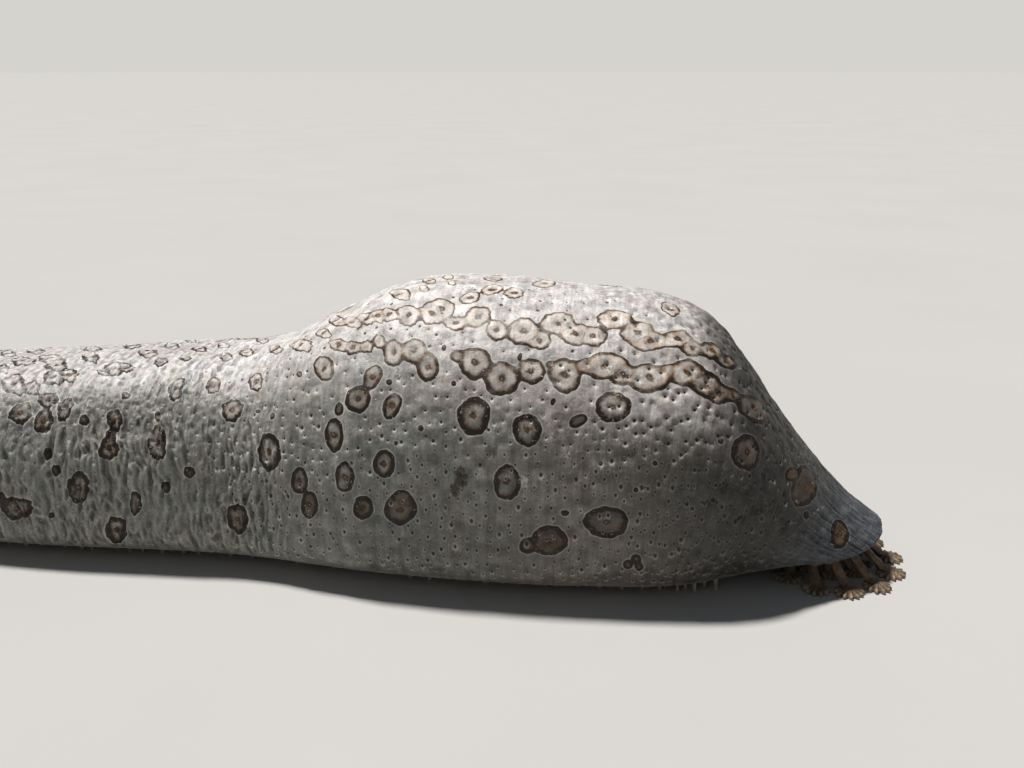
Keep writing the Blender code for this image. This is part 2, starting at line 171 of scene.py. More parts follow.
def valueNoise(points, seed):
    # smooth noise between -1 and 1 over points given in cells
    cell = np.floor(points).astype(np.int64)
    f = points - cell
    f = f * f * f * (f * (f * 6 - 15) + 10)
    total = np.zeros(len(points))
    for corner in range(8):
        step = np.array([corner & 1, (corner >> 1) & 1, (corner >> 2) & 1])
        c = cell + step
        h = (c[:, 0] * 73856093) ^ (c[:, 1] * 19349663) ^ (c[:, 2] * 83492791) ^ (seed * 2654435)
        h = (h ^ (h >> 13)) * 1274126177
        h = (h ^ (h >> 16)) & 0xFFFFFF
        w = np.prod(np.where(step == 1, f, 1 - f), axis=1)
        total += w * (h / float(0x7FFFFF) - 1.0)
    return total


def ease(value, low, high):
    t = np.clip((value - low) / (high - low), 0.0, 1.0)
    return t * t * (3 - 2 * t)


def bell(gap, span):
    # one at the centre, and next to nothing at twice the span
    return np.exp(-((gap / span) ** 2))


def flatCircle(count):
    # even turns, and the points of a level circle of radius one at them
    turns = np.arange(count) * 2 * np.pi / count
    return turns, np.stack([np.cos(turns), np.sin(turns), np.zeros(count)], axis=1)


def gridNormals(grid):
    along = np.gradient(grid, axis=0)
    around = np.roll(grid, -1, axis=1) - np.roll(grid, 1, axis=1)
    normal = np.cross(around, along)
    return normal / np.maximum(norm(normal, axis=2), 1e-9)[:, :, None]


def gridFaces(ringCount, around, first=0):
    index = first + np.arange(ringCount * around).reshape(ringCount, around)
    turned = np.roll(index, -1, axis=1)
    return np.stack([index[:-1], turned[:-1], turned[1:], index[1:]], axis=-1).reshape(-1, 4)


def tubeFaces(ringCount, around, first=0):
    # quads of a tube and a fan over each end, whose middle points follow its rings
    j = np.arange(around)
    n = (j + 1) % around
    low = first + ringCount * around
    end = low - around
    caps = [np.stack([first + n, first + j, np.full(around, low)], axis=1),
            np.stack([end + j, end + n, np.full(around, low + 1)], axis=1)]
    return gridFaces(ringCount, around, first), np.concatenate(caps)


def closedTube(rings):
    # points and faces of a tube through rings, closed at both ends
    rings = np.array(rings)
    points = [rings.reshape(-1, 3), rings[0].mean(axis=0)[None], rings[-1].mean(axis=0)[None]]
    return np.concatenate(points), tubeFaces(*rings.shape[:2])


def meshFromArrays(name, points, faces):
    # points in millimetres; faces are arrays, each of faces with the same number of corners
    mesh = bpy.data.meshes.new(name)
    mesh.vertices.add(len(points))
    mesh.vertices.foreach_set("co", (np.asarray(points) * mm).ravel())
    corners = np.concatenate([f.ravel() for f in faces])
    sizes = np.concatenate([np.full(len(f), f.shape[1]) for f in faces])
    mesh.loops.add(len(corners))
    mesh.loops.foreach_set("vertex_index", corners)
    mesh.polygons.add(len(sizes))
    mesh.polygons.foreach_set("loop_start", np.concatenate([[0], np.cumsum(sizes)[:-1]]))
    mesh.update(calc_edges=True)
    mesh.validate()
    mesh.shade_smooth()
    return mesh


def addAttribute(mesh, name, values):
    values = np.asarray(values, float)
    kind = "FLOAT_VECTOR" if values.ndim == 2 else "FLOAT"
    layer = mesh.attributes.new(name, kind, "POINT")
    layer.data.foreach_set("vector" if values.ndim == 2 else "value", values.ravel())


def addPiece(name, mesh, look):
    piece = bpy.data.objects.new(name, mesh)
    bpy.context.scene.collection.objects.link(piece)
    mesh.materials.clear()
    mesh.materials.append(look)
    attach(piece, "root")
    return piece


# Where a pixel of the photo meets the body

pitch = math.radians(camera["pitchDown"])
cameraPlace = np.array(camera["place"])
cameraForward = np.array([0.0, math.cos(pitch), -math.sin(pitch)])
cameraUp = np.array([0.0, math.sin(pitch), math.cos(pitch)])
cameraRight = np.array([1.0, 0.0, 0.0])


def pixelOf(points):
    # column and row of the photo for points in millimetres
    d = np.asarray(points) - cameraPlace
    depth = d @ cameraForward
    column = camera["imageSize"][0] / 2 + camera["focalPixels"] * (d @ cameraRight) / depth
    row = camera["imageSize"][1] / 2 - camera["focalPixels"] * (d @ cameraUp) / depth
    return column, row


def bodyAtPixel(column, row):
    across = column - camera["imageSize"][0] / 2
    down = row - camera["imageSize"][1] / 2
    ray = cameraForward * camera["focalPixels"] + cameraRight * across - cameraUp * down
    place, normal, _, _ = bodyTree.ray_cast(Vector(cameraPlace), Vector(unit(ray)))
    return (None, None) if place is None else (np.array(place), np.array(normal))


# Spots, read from the photo: column, row, width and height in pixels, and any tilt in degrees

spots = {
    "flank": [
        (474, 416, 33, 39), (527, 430, 29, 33), (613, 407, 36, 31), (578, 421, 20, 12, -28),
        (507, 483, 28, 35), (606, 522, 46, 31), (549, 541, 38, 29), (528, 546, 18, 16),
        (400, 510, 33, 31), (401, 498, 20, 15), (363, 508, 20, 24), (384, 464, 23, 28),
        (345, 477, 19, 31), (334, 435, 20, 34), (339, 409, 10, 14), (392, 406, 18, 28, 20),
        (324, 368, 20, 25), (358, 399, 24, 29, 25), (372, 377, 18, 27, 30), (299, 481, 17, 27),
        (309, 505, 17, 28), (746, 452, 29, 36), (805, 485, 24, 42), (793, 474, 14, 15),
        (840, 533, 18, 29), (858, 563, 20, 26), (628, 565, 10, 10), (636, 559, 11, 10), (639, 567, 9, 9),
        (807, 515, 6, 8),
    ],
    "lowerChain": [
        (379, 341, 13, 14), (393, 352, 21, 26), (414, 351, 25, 24), (428, 367, 22, 28),
        (457, 356, 13, 12), (475, 363, 32, 30), (502, 379, 34, 33), (531, 371, 27, 25), (550, 364, 8, 6),
        (565, 375, 31, 34, -12), (585, 366, 18, 14), (606, 366, 42, 26), (623, 374, 26, 23),
        (649, 378, 42, 28), (668, 371, 14, 13), (687, 373, 34, 26), (706, 385, 32, 24, 30),
        (719, 394, 22, 20, 30), (732, 396, 18, 13, 30), (754, 409, 35, 21, 40),
    ],
    "upperChain": [
        (389, 314, 17, 13), (408, 314, 22, 21), (432, 312, 26, 22), (442, 308, 25, 20),
        (456, 323, 24, 14), (478, 317, 26, 19, -20), (497, 331, 20, 20), (524, 332, 30, 26),
        (540, 341, 22, 16), (558, 324, 36, 20), (575, 335, 30, 20), (593, 337, 28, 18),
        (614, 321, 33, 18), (638, 334, 33, 22), (649, 342, 35, 18), (677, 340, 28, 17),
        (692, 349, 22, 15, 20), (711, 352, 26, 15, 25), (726, 362, 22, 13, 30),
    ],
    "crest": [
        (400, 293, 21, 11), (424, 288, 11, 6), (452, 283, 9, 5), (470, 298, 21, 13, -10),
        (492, 290, 23, 11, -10), (514, 294, 21, 10), (493, 278, 19, 5), (545, 283, 24, 7),
        (670, 310, 20, 12, 25), (429, 280, 14, 5), (448, 277, 12, 4),
    ],
    "waist": [
        (301, 345, 22, 12), (324, 334, 15, 9), (353, 347, 17, 13), (366, 346, 15, 12), (366, 318, 18, 12),
        (378, 315, 16, 12), (299, 374, 6, 6), (337, 321, 16, 10), (352, 322, 18, 11), (339, 345, 18, 12),
    ],
    "hindFlank": [
        (21, 413, 25, 19, -30), (44, 421, 18, 24, 20), (65, 409, 13, 24, 25), (48, 400, 20, 14, -10),
        (84, 420, 9, 11), (114, 419, 15, 21), (110, 434, 8, 10), (109, 448, 19, 24), (126, 395, 9, 7),
        (48, 454, 8, 11), (57, 470, 8, 11), (79, 487, 20, 32), (17, 508, 30, 23), (2, 498, 8, 12),
        (52, 515, 6, 6), (116, 531, 20, 26), (136, 503, 12, 24), (157, 443, 18, 34), (157, 416, 6, 10),
        (176, 388, 13, 24, 30), (213, 385, 13, 18, 25), (255, 381, 13, 18, 22), (232, 410, 18, 24, 25),
        (257, 411, 5, 4), (272, 416, 5, 7),
    ],
    "hindBack": [
        (23, 361, 24, 10), (50, 359, 23, 11), (57, 366, 22, 11), (3, 369, 13, 12), (14, 384, 24, 18, -20),
        (32, 388, 19, 13, -15), (54, 378, 22, 14, -10), (70, 376, 18, 12), (92, 349, 18, 7),
        (91, 358, 18, 9), (114, 369, 18, 12), (126, 368, 14, 10), (148, 354, 20, 8),
        (161, 362, 14, 8, -20), (186, 359, 12, 6), (226, 357, 13, 8), (104, 374, 12, 5, 10),
        (224, 346, 12, 6), (36, 350, 18, 6), (132, 346, 18, 6), (172, 347, 16, 6), (200, 350, 14, 6),
        (247, 352, 14, 8), (190, 341, 16, 5), (262, 340, 13, 6), (275, 349, 12, 8), (8, 352, 16, 6),
        (108, 342, 16, 5),
    ],
    "darkDots": [
        (444, 348, 5, 7, 20), (520, 357, 4, 11, 15), (454, 384, 5, 5), (389, 382, 6, 6), (421, 428, 6, 6),
        (553, 402, 5, 8, 20), (396, 443, 4, 4), (565, 513, 8, 6), (636, 490, 5, 5), (489, 430, 3, 3),
        (624, 501, 3, 3), (720, 441, 6, 6), (655, 463, 5, 5), (789, 448, 5, 5), (748, 476, 4, 4),
        (692, 508, 4, 4),
    ],
    # how the spots of each group are made
    "mannerParts": (
        "growth",  # of the ovals
        "blend",   # how softly touching spots run together, in millimetres
        "seam",    # how brown the skin is where they join
        "stray",   # how far outlines stray from an oval
        "dark",    # least darkness of the inside
        "aspect",  # least and greatest height over width on the skin
    ),
    "manner": {
        "flank": (1.0, 1.0, 0.8, 0.035, 0.0, (0.60, 1.65)),
        "lowerChain": (1.06, 1.6, 0.75, 0.04, 0.0, (0.50, 1.9)),
        "upperChain": (1.07, 1.9, 0.20, 0.06, 0.0, (0.50, 2.1)),
        "crest": (1.0, 1.2, 0.2, 0.07, 0.0, (0.55, 1.9)),
        "waist": (1.05, 1.4, 0.4, 0.10, 0.0, (0.55, 1.9)),
        "hindFlank": (1.04, 1.4, 0.8, 0.08, 0.0, (0.60, 2.0)),
        "hindBack": (1.05, 1.5, 0.2, 0.12, 0.0, (0.55, 2.0)),
        "darkDots": (1.0, 0.5, 0.0, 0.06, 1.0, (0.60, 2.2)),
        "unseen": (1.0, 1.5, 0.5, 0.06, 0.0, (0.60, 1.65)),
    },
    "largest": 9.6,                           # half length in millimetres
    "unseenCount": 130,                       # most spots on the sides that the photo doesn't show
    "farRows": ((0.365, 5.4), (0.435, 4.2)),  # share of the way round and size of the far side's two rows
    "seenColumns": (4, 1020),                 # columns of the photo in which the body counts as seen
    # columns from and to, and the row of the photo below which it isn't seen there
    "covered": ((-math.inf, 150, 520), (150, 290, 430)),
    "leastFacing": 0.08,                      # cosine of the steepest skin that counts as seen
}

# Marks on the skin of the hump, given as the spots are
marks = {
    "stain": [(461, 478, 13, 26, 8), (455, 490, 9, 14)],
    "silt": [(567, 455, 6, 34, 8), (562, 484, 4, 22, 8), (620, 390, 17, 10), (524, 481, 8, 20),
             (606, 372, 14, 5, 10), (532, 366, 10, 5), (398, 373, 6, 12, 20), (552, 436, 3, 10, 30)],
}

pores = {
    "spacing": 3.1, "spread": (0.85, 1.2), "tries": 70000,
    "raisedShare": 0.30, "moreOnTop": 0.22,  # share with a papilla, and what the top of the back adds
    "ringMargin": 0.75, "insideMargin": 1.7,  # least distances from a spot's outline, outside and inside
}


def seenSpot(pixels, aspect):
    # the oval on the skin that looks like this one from the camera: centre, two half axes, normal
    column, row, width, height, *tilt = pixels
    centre, normal = bodyAtPixel(column, row)
    if centre is None:
        return None
    lean = math.radians(sum(tilt))
    axes = []
    for length, turn in ((width, lean), (height, lean + math.pi / 2)):
        ends = []
        for sign in (0.5, -0.5):
            reach = sign * length
            hit, _ = bodyAtPixel(column + reach * math.cos(turn), row + reach * math.sin(turn))
            if hit is not None and norm(hit - centre) < 14:
                ends.append(np.sign(sign) * (hit - centre))
        axis = np.mean(ends, axis=0) if ends else np.zeros(3)
        axes.append(axis - normal * (axis @ normal))
    a, b = axes
    if norm(a) < 0.3:
        return None
    if norm(b) < 0.3:
        b = np.cross(normal, a)
    ratio = norm(b) / norm(a)
    b = b * (min(max(ratio, aspect[0]), aspect[1]) / ratio)
    size = max(norm(a), norm(b))
    shrink = min(1.0, spots["largest"] / size)
    return centre, a * shrink, b * shrink, normal


def wasSeen(point, normal):
    # whether the photo shows this point of the skin
    column, row = pixelOf(point)
    view = cameraPlace - point
    first, last = spots["seenColumns"]
    covered = any(start < column < stop and row > level for start, stop, level in spots["covered"])
    return first < column < last and (view @ normal) / norm(view) > spots["leastFacing"] and not covered


report("making the skin's grid")
ringPlaces = np.linspace(0.0, bodyLength, body["ringsAlong"])
rings = [sectionRing(p, body["pointsAround"]) for p in ringPlaces]
skinGrid = np.array([r[0] for r in rings])
girths = np.array([r[1] for r in rings])
skinPoints = skinGrid.reshape(-1, 3)
skinNormals = gridNormals(skinGrid).reshape(-1, 3)
skinX, skinZ, upness = skinPoints[:, 0], skinPoints[:, 2], skinNormals[:, 2]
gridShape = skinGrid.shape[:2]
shares = np.arange(gridShape[1]) / gridShape[1]  # 0 at the sole, 0.25 far flank, 0.5 back, 0.75 near flank
alongMap = np.repeat(ringPlaces, gridShape[1])
aroundMap = (girths[:, None] * shares[None, :]).ravel()
shareMap = np.tile(shares, gridShape[0])

coarse = skinGrid[::4, ::4]
bodyTree = BVHTree.FromPolygons(coarse.reshape(-1, 3).tolist(), gridFaces(*coarse.shape[:2]).tolist())


def gridIndex(place, share):
    # which points of the grid are nearest to places and shares of the way round
    k = np.clip(np.round(place / bodyLength * (gridShape[0] - 1)).astype(int), 0, gridShape[0] - 1)
    return k * gridShape[1] + np.round(share * gridShape[1]).astype(int) % gridShape[1]


def unseenSpots(rng, known):
    # spots of the hidden sides: scattered over the flank, and run together in two rows along the back
    found = []
    centres = [(s[0], max(norm(s[1]), norm(s[2]))) for s in known]
    wanted = []
    for share, size in spots["farRows"]:
        place = 150.0 + rng.uniform(0, 12)
        while place < bodyLength - 70:
            wanted.append((place, share + rng.uniform(-0.012, 0.012), size * rng.uniform(0.75, 1.2), 0.72))
            place += size * rng.uniform(1.5, 2.3) if rng.random() < 0.8 else size * 4.5
    for _ in range(spots["unseenCount"] * 12):
        share = rng.uniform(0.17, 0.83)
        size = rng.choice([rng.uniform(1.0, 2.2), rng.uniform(3.8, 6.6), rng.uniform(4.8, 6.8)])
        wanted.append((rng.uniform(16, bodyLength - 34), share, size, 1.12))
    for place, share, size, apart in wanted:
        if len(found) > spots["unseenCount"]:
            break
        here = gridIndex(place, share)
        centre, normal = skinPoints[here], skinNormals[here]
        if wasSeen(centre, normal):
            continue
        if any(norm(centre - c) < (size + r) * apart for c, r in centres):
            continue
        along = unit(np.cross(normal, [0.0, 0.0, 1.0]) + np.array([0.0, 0.0, 0.01]))
        across = np.cross(normal, along)
        stretch = rng.uniform(0.85, 1.18)
        found.append((centre, along * size * stretch, across * size / stretch, normal))
        centres.append((centre, size))
    return found


def ovalDistance(spot, wobble, rng, reach):
    # the skin's points near an oval, their offset from its centre, their distance to its outline, its size
    centre, a, b, normal = spot
    least, most = sorted((norm(a), norm(b)))
    d = skinPoints - centre
    near = np.nonzero((d * d).sum(axis=1) < (most * 1.4 + reach) ** 2)[0]
    d = d[near]
    flat = d - np.outer(d @ normal, normal)
    gram = np.array([[a @ a, a @ b], [a @ b, b @ b]])
    share = np.linalg.solve(gram, np.stack([flat @ a, flat @ b]))
    angle = np.arctan2(share[1], share[0])
    wave = np.zeros(len(near))
    for k, part in ((2, 0.7), (3, 0.8), (5, 0.7), (8, 0.55), (13, 0.5)):
        wave += part * np.cos(k * angle + rng.uniform(0, 6.28)) * rng.uniform(0.5, 1.0)
    radius = np.hypot(share[0], share[1]) * (1 + wobble * wave)
    distance = norm(flat, axis=1)
    distance = np.where(radius > 0.15, distance * (1 - 1 / np.maximum(radius, 0.15)), -least)
    return near, d, np.maximum(distance, -least * 1.05), least


def spotFields(rng):
    # for each point of the grid: distance to the outline of its spot, to the line between joined spots,
    # offset from the spot's centre, the spot's size, darkness of its inside, and brownness where spots join
    seen, manners = [], []
    for group, row in spots["manner"].items():
        manner = dict(zip(spots["mannerParts"], row))
        for pixels in spots.get(group, ()):
            made = seenSpot(pixels, manner["aspect"])
            if made is not None:
                centre, a, b, normal = made
                seen.append((centre, a * manner["growth"], b * manner["growth"], normal))
                manners.append(manner)
    every = seen + unseenSpots(rng, seen)
    manners += [manner] * (len(every) - len(seen))  # the last manner is that of the unseen spots
    count, far = len(skinPoints), 30.0
    edge, nearest, second, offset = (np.full(n, far) for n in (count, count, count, (count, 3)))
    size, tone, seam = np.full(count, 5.0), np.zeros(count), np.zeros(count)
    for spot, manner in zip(every, manners):
        near, d, sd, least = ovalDistance(spot, manner["stray"], rng, 6.0)
        blend = manner["blend"]
        h = np.clip(0.5 + 0.5 * (edge[near] - sd) / blend, 0, 1)
        edge[near] = edge[near] * (1 - h) + sd * h - blend * h * (1 - h)
        closer = sd < nearest[near]
        second[near] = np.where(closer, nearest[near], np.minimum(second[near], sd))
        nearest[near] = np.where(closer, sd, nearest[near])
        offset[near] = np.where(closer[:, None], d, offset[near])
        size[near] = np.where(closer, least, size[near])
        # insides are dark in small spots and low on the flank; towards the head they are darkened as painted
        # shade
        low = (1 - ease(spot[0][2], 26.0, 50.0)) * (0.3 + 0.7 * ease(spot[0][0], -50.0, 0.0))
        fore = ease(spot[0][0], 118.0, 150.0)
        up = ease(spot[3][2], 0.5, 0.85)
        fore = max(0.6 * fore * (1 - up), 0.95 * ease(spot[0][0], 150.0, 162.0))
        dark = max(0.85 * low, fore, (1 - ease(least, 1.4, 3.0)) * (1 - up), manner["dark"])
        tone[near] = np.where(closer, float(dark), tone[near])
        seam[near] = np.where(closer, manner["seam"], seam[near])
    # ragged outlines, most of all on the hind part of the back
    hind = 1 - ease(skinX, -30, 10)
    loose = 0.12 + 0.24 * ease(upness, 0.55, 0.85) * hind
    edge += loose * valueNoise(skinPoints / 2.4, 31)
    edge += (0.05 + 0.04 * hind) * valueNoise(skinPoints / 1.2, 32)
    split = np.clip((second - nearest) / 2, 0, 8)
    return edge, split, offset, size, tone, seam, len(every)


def markField(group, rng):
    mask = np.zeros(len(skinPoints))
    for pixels in marks[group]:
        spot = seenSpot(pixels, spots["manner"]["unseen"][-1])
        if spot is not None:
            near, _, sd, _ = ovalDistance(spot, 0.15, rng, 3.0)
            mask[near] = np.maximum(mask[near], 1 - ease(sd, -0.5, 0.9))
    return mask


report("placing spots")
spotEdge, spotSplit, spotOffset, spotSize, spotTone, spotSeam, spotCount = spotFields(random.Random(11))
stainMap, smearMap = markField("stain", random.Random(3)), markField("silt", random.Random(4))
spotBig = ease(spotSize, 2.4, 3.4)
report("%d spots" % spotCount)


def poreSeeds(rng):
    # place, share of the way round, size and kind of each pore: scattered evenly, and few in the spots
    apart = pores["spacing"]
    taken, seeds = {}, []
    for _ in range(pores["tries"]):
        place = rng.uniform(4.0, bodyLength - 2.0)
        girth = girths[int(place / bodyLength * (gridShape[0] - 1))]
        around = rng.uniform(0.0, girth)
        gap = apart * rng.uniform(*pores["spread"])
        cell = (int(place / apart), int(around / apart))
        near = [taken[(cell[0] + i, cell[1] + j)] for i in (-1, 0, 1) for j in (-1, 0, 1)
                if (cell[0] + i, cell[1] + j) in taken]
        if cell in taken or any(math.hypot(place - p, around - q) < gap for p, q in near):
            continue
        taken[cell] = (place, around)
        seeds.append((place, around / girth, rng.random(), rng.random()))
    seeds = np.array(seeds)
    edge = spotEdge[gridIndex(seeds[:, 0], seeds[:, 1])]
    inside = 0.80 - 0.50 * ease(seeds[:, 0], 285.0, 315.0)
    return seeds[(edge > pores["ringMargin"]) | ((edge < -pores["insideMargin"]) & (seeds[:, 3] > inside))]


seeds = poreSeeds(random.Random(5))
seedPoints = skinPoints[gridIndex(seeds[:, 0], seeds[:, 1])]
tree = kdtree.KDTree(len(seedPoints))
for i, p in enumerate(seedPoints):
    tree.insert(p, i)
tree.balance()
report("%d pores" % len(seeds))
nearestSeed = np.array([tree.find(p)[1] for p in skinPoints.tolist()])
poreOffset = skinPoints - seedPoints[nearestSeed]
poreGap = norm(poreOffset, axis=1)
poreSize = seeds[nearestSeed, 2]
risen = pores["raisedShare"] + pores["moreOnTop"] * ease(upness, 0.75, 0.95)
raised = (seeds[nearestSeed, 3] < risen) * ease(upness, 0.15, 0.6)  # a papilla stands in the pore


# Relief of the skin, in millimetres

relief = {
    "swell": (0.8, 34.0),        # height and length of the broad unevenness
    "lump": (0.30, 11.0),
    "dimple": (0.30, 3.8),       # low unevenness of the hump's flank
    "pinch": (0.44, 2.0, 6.8),   # height of the contraction wrinkles, and their size along and around
    "crinkle": (0.44, 1.4, 4.4),
    "knob": (0.26, 2.3),         # rounded lumps of the hind part, most of all on its upper flank
    "pinchSpan": (-205.0, -8.0),
    "fold": (0.55, 8.0),         # transverse folds where the waist rises into the hump
    "foldSpan": (-30.0, 18.0),
    "puff": (1.05, 1.05),        # height of the skin between pores on the fore part of the back, and reach
    "pit": (0.28, 0.5),          # depth and radius of a pore
    "papilla": (0.62, 0.48),     # height and radius of the papilla that some pores have in its place
    "spotRise": 0.05,
    "groove": (0.07, 0.5),       # depth and width of the groove round each spot
    "middle": (0.30, 0.45, 1.4),  # height of the papilla in a spot's middle, its radius and its hollow's
    "ventFolds": (0.35, 15),     # height and number of the folds round the vent
    "collarLines": 150,          # fine lengthwise wrinkles that run into the lip
    "collarHeight": 0.36,
    "collarHoops": (0.07, 2.9),  # height and spacing of the wrinkles round the lip
    "collarSpan": (34.0, 6.0),   # distances from the lip at which the wrinkles begin and are full
}


def unevenness(span, seed):
    # noise over the skin, with lumps of about this size in millimetres
    return valueNoise(skinPoints / span, seed)


def ridged(flat, seed):
    # crests with rounded tops, from two turned layers of noise so that no row of cells shows
    u, v = flat[:, 0], flat[:, 1]
    turned = np.stack([u * 0.82 + v * 0.45, v * 0.82 - u * 0.45, flat[:, 2]], axis=1)
    both = (valueNoise(flat + 0.5, seed) + valueNoise(turned * 1.13 + 7.3, seed + 40)) * 0.75
    return 1 - np.sqrt(both**2 + 0.006) * 2


def unrolled(along, around):
    # points of the skin as if it were cut open and laid flat
    return np.stack([along, around, shareMap * 0], axis=1)


def skinRelief():
    x, z, along, around = skinX, skinZ, alongMap, aroundMap
    above = ease(z, 3.0, 14.0)
    height = np.zeros(len(z))
    for name, seed in (("swell", 1), ("lump", 2)):
        tall, span = relief[name]
        height += tall * unevenness(span, seed) * above
    # wrinkles of the contracted hind part, upright on the flank
    start, stop = relief["pinchSpan"]
    pinched = ease(x, start - 10, start + 10) * (1 - ease(x, stop - 30, stop + 14)) * above
    drift = unevenness(14.0, 6) * 2.2 + unevenness(5.0, 16) * 0.8
    waver = unevenness(9.0, 18) * 3.0
    patch = 0.75 + 0.40 * unevenness(22.0, 4)
    upright = 1.35 - 0.80 * ease(upness, 0.15, 0.85)
    for name, seed in (("pinch", 3), ("crinkle", 8)):
        tall, length, width = relief[name]
        crests = ridged(unrolled((along + drift) / length, (around + waver) / width), seed)
        height += tall * (crests - 0.3) * pinched * patch * upright
    tall, span = relief["knob"]
    knobs = unevenness(span, 12) + 0.5 * unevenness(span * 0.55, 17)
    knobs *= (0.35 + 0.65 * ease(upness, 0.15, 0.6)) * (1 - 0.4 * ease(upness, 0.9, 1.0))
    height += tall * knobs * pinched
    tall, span = relief["dimple"]
    height += tall * unevenness(span, 14) * (1 - pinched) * above
    # folds across the waist
    tall, span = relief["fold"]
    start, stop = relief["foldSpan"]
    folded = ease(x, start - 14, start + 8) * (1 - ease(x, stop - 10, stop + 16)) * above
    height += tall * valueNoise(unrolled((along + drift * 1.5) / span, around / 40.0), 5) * folded
    # the head end gathers into fine wrinkles round the lip
    begin, full = relief["collarSpan"]
    toLip = bodyLength - along
    gathered = 1 - ease(toLip, full, begin)
    wrinkles = height.copy()
    # puffed skin between the pores, most of all on the fore slope, and a pit or a papilla in each pore
    forward = ease(x, 84.0, 112.0) * ease(upness, 0.22, 0.50) * ease(toLip, 40, 66)
    puffed = 0.30 + 0.70 * forward * (0.8 + 0.2 * unevenness(9.0, 13))
    calm = above * (1 - gathered)
    tall, radius = relief["puff"]
    dome = 1 - bell(poreGap, radius)
    height += tall * puffed * (dome - 0.6) * calm * (1 - 0.4 * pinched)
    deep, radius = relief["pit"]
    height -= deep * bell(poreGap, radius) * calm * (1 - raised)
    tall, radius = relief["papilla"]
    height += tall * (0.5 + 0.5 * poreSize) * bell(poreGap, radius) * raised * calm
    # a fine groove round each spot, and a low papilla in its middle
    centreGap = norm(spotOffset, axis=1)
    deep, width = relief["groove"]
    height += relief["spotRise"] * ease(-spotEdge, 0.0, 1.2) - deep * bell(spotEdge, width)
    tall, inner, outer = relief["middle"]
    height += tall * (bell(centreGap, inner) - bell(centreGap, outer)) * spotBig
    lines = ridged(unrolled(shareMap * relief["collarLines"], along / 9.0), 7)
    height += relief["collarHeight"] * (lines - 0.2) * gathered
    tall, apart = relief["collarHoops"]
    hoops = np.sin(along * 2 * np.pi / apart + 4.5 * unevenness(7.0, 9))
    height += tall * hoops * ease(toLip, 1, 6) * gathered
    tall, count = relief["ventFolds"]
    radial = tall * np.cos(shareMap * 2 * np.pi * count) * (1 - ease(along, 2.0, 14.0))
    wrinkles += relief["collarHeight"] * lines * gathered
    # painted highlight on the tops of the puffs; it makes the back's colour paler there
    crests = forward * ease(dome, 0.45, 0.95) * (1 - gathered)
    return (height * ease(along, 0.0, 12.0) + radial) * ease(z, 1.2, 3.2), wrinkles, pinched, crests


report("working out the relief")
skinHeight, wrinkles, pinchMap, puffLight = skinRelief()
# painted shade: each point's height over its blurred surroundings darkens the creases in colour and lightens
# what stands up
blurred = wrinkles.reshape(gridShape)
for _ in range(3):
    blurred = (blurred + np.roll(blurred, 3, 1) + np.roll(blurred, -3, 1)) / 3
    padded = np.pad(blurred, ((3, 3), (0, 0)), mode="edge")
    blurred = (padded[3:-3] + padded[6:] + padded[:-6]) / 3
creaseShading = np.clip((wrinkles - blurred.ravel()) * 1.6 + 0.5, 0, 1)
reliefGrid = (skinPoints + skinNormals * skinHeight[:, None]).reshape(skinGrid.shape)
reliefGrid[:, :, 2] = np.maximum(reliefGrid[:, :, 2], 1.2)


# Ends of the skin: the vent's pit and the lip round the mouth disc

ends = {
    # radius and depth of the vent, from its rim inwards
    "vent": [(5.7, -0.5), (5.1, -0.8), (4.4, -0.5), (3.8, 0.6),
             (3.3, 2.2), (3.0, 4.5), (2.4, 7.0), (1.2, 8.6)],
    "ventRadius": 6.0,
    # distance in from the lip's edge, and height over it
    "lip": [(0.35, 0.55), (1.0, 0.95), (1.8, 1.0), (2.6, 0.7),
            (3.2, 0.1), (3.5, -0.8), (3.6, -1.8), (3.7, -2.5)],
}


def inset(rim, width, rise):
    # a ring drawn in towards its centre by a width, and moved by a rise
    centre = rim.mean(axis=0)
    spoke = rim - centre
    return centre + spoke * (1 - width / norm(spoke, axis=1, keepdims=True)) + rise


def ventRings():
    rim = reliefGrid[0]
    centre = rim.mean(axis=0)
    inward = sectionNormal(0.0)
    return [centre + (rim - centre) * (r / ends["ventRadius"]) + inward * d for r, d in ends["vent"]][::-1]


def lipRings():
    outward = sectionNormal(bodyLength)
    return [inset(reliefGrid[-1], w, outward * h) for w, h in ends["lip"]]


def skinMesh(fields):
    inner, outer = ventRings(), lipRings()
    points, faces = closedTube([*inner, *reliefGrid, *outer])
    mesh = meshFromArrays("skin", points, faces)
    count, around = len(inner) + len(reliefGrid) + len(outer), gridShape[1]
    for name, values in fields.items():
        # the vent's pit and the lip take the values of the ring that they grow from
        first, last = values[:around], values[-around:]
        parts = [first] * len(inner) + [values] + [last] * len(outer) + [values[:1], values[-1:]]
        addAttribute(mesh, name, np.concatenate(parts))
    # an even unwrap: along the body, and round it with its seam under the sole
    loops = np.empty(len(mesh.loops), np.int64)
    mesh.loops.foreach_get("vertex_index", loops)
    u = np.repeat(np.linspace(0.01, 0.99, count), around)
    v = np.tile(np.arange(around) / around, count)
    u, v = np.append(u, [0.005, 0.995]), np.append(v, [0.5, 0.5])
    uv = np.stack([u[loops], v[loops]], axis=1)
    start = np.empty(len(mesh.polygons), np.int64)
    mesh.polygons.foreach_get("loop_start", start)
    total = np.append(start[1:], len(loops)) - start
    face = np.repeat(np.arange(len(start)), total)
    high = np.zeros(len(start))
    np.maximum.at(high, face, uv[:, 1])
    wrap = (high[face] > 0.9) & (uv[:, 1] < 0.1)
    uv[wrap, 1] = 1.0
    layer = mesh.uv_layers.new(name="OFBake")
    layer.data.foreach_set("uv", uv.ravel())
    return mesh


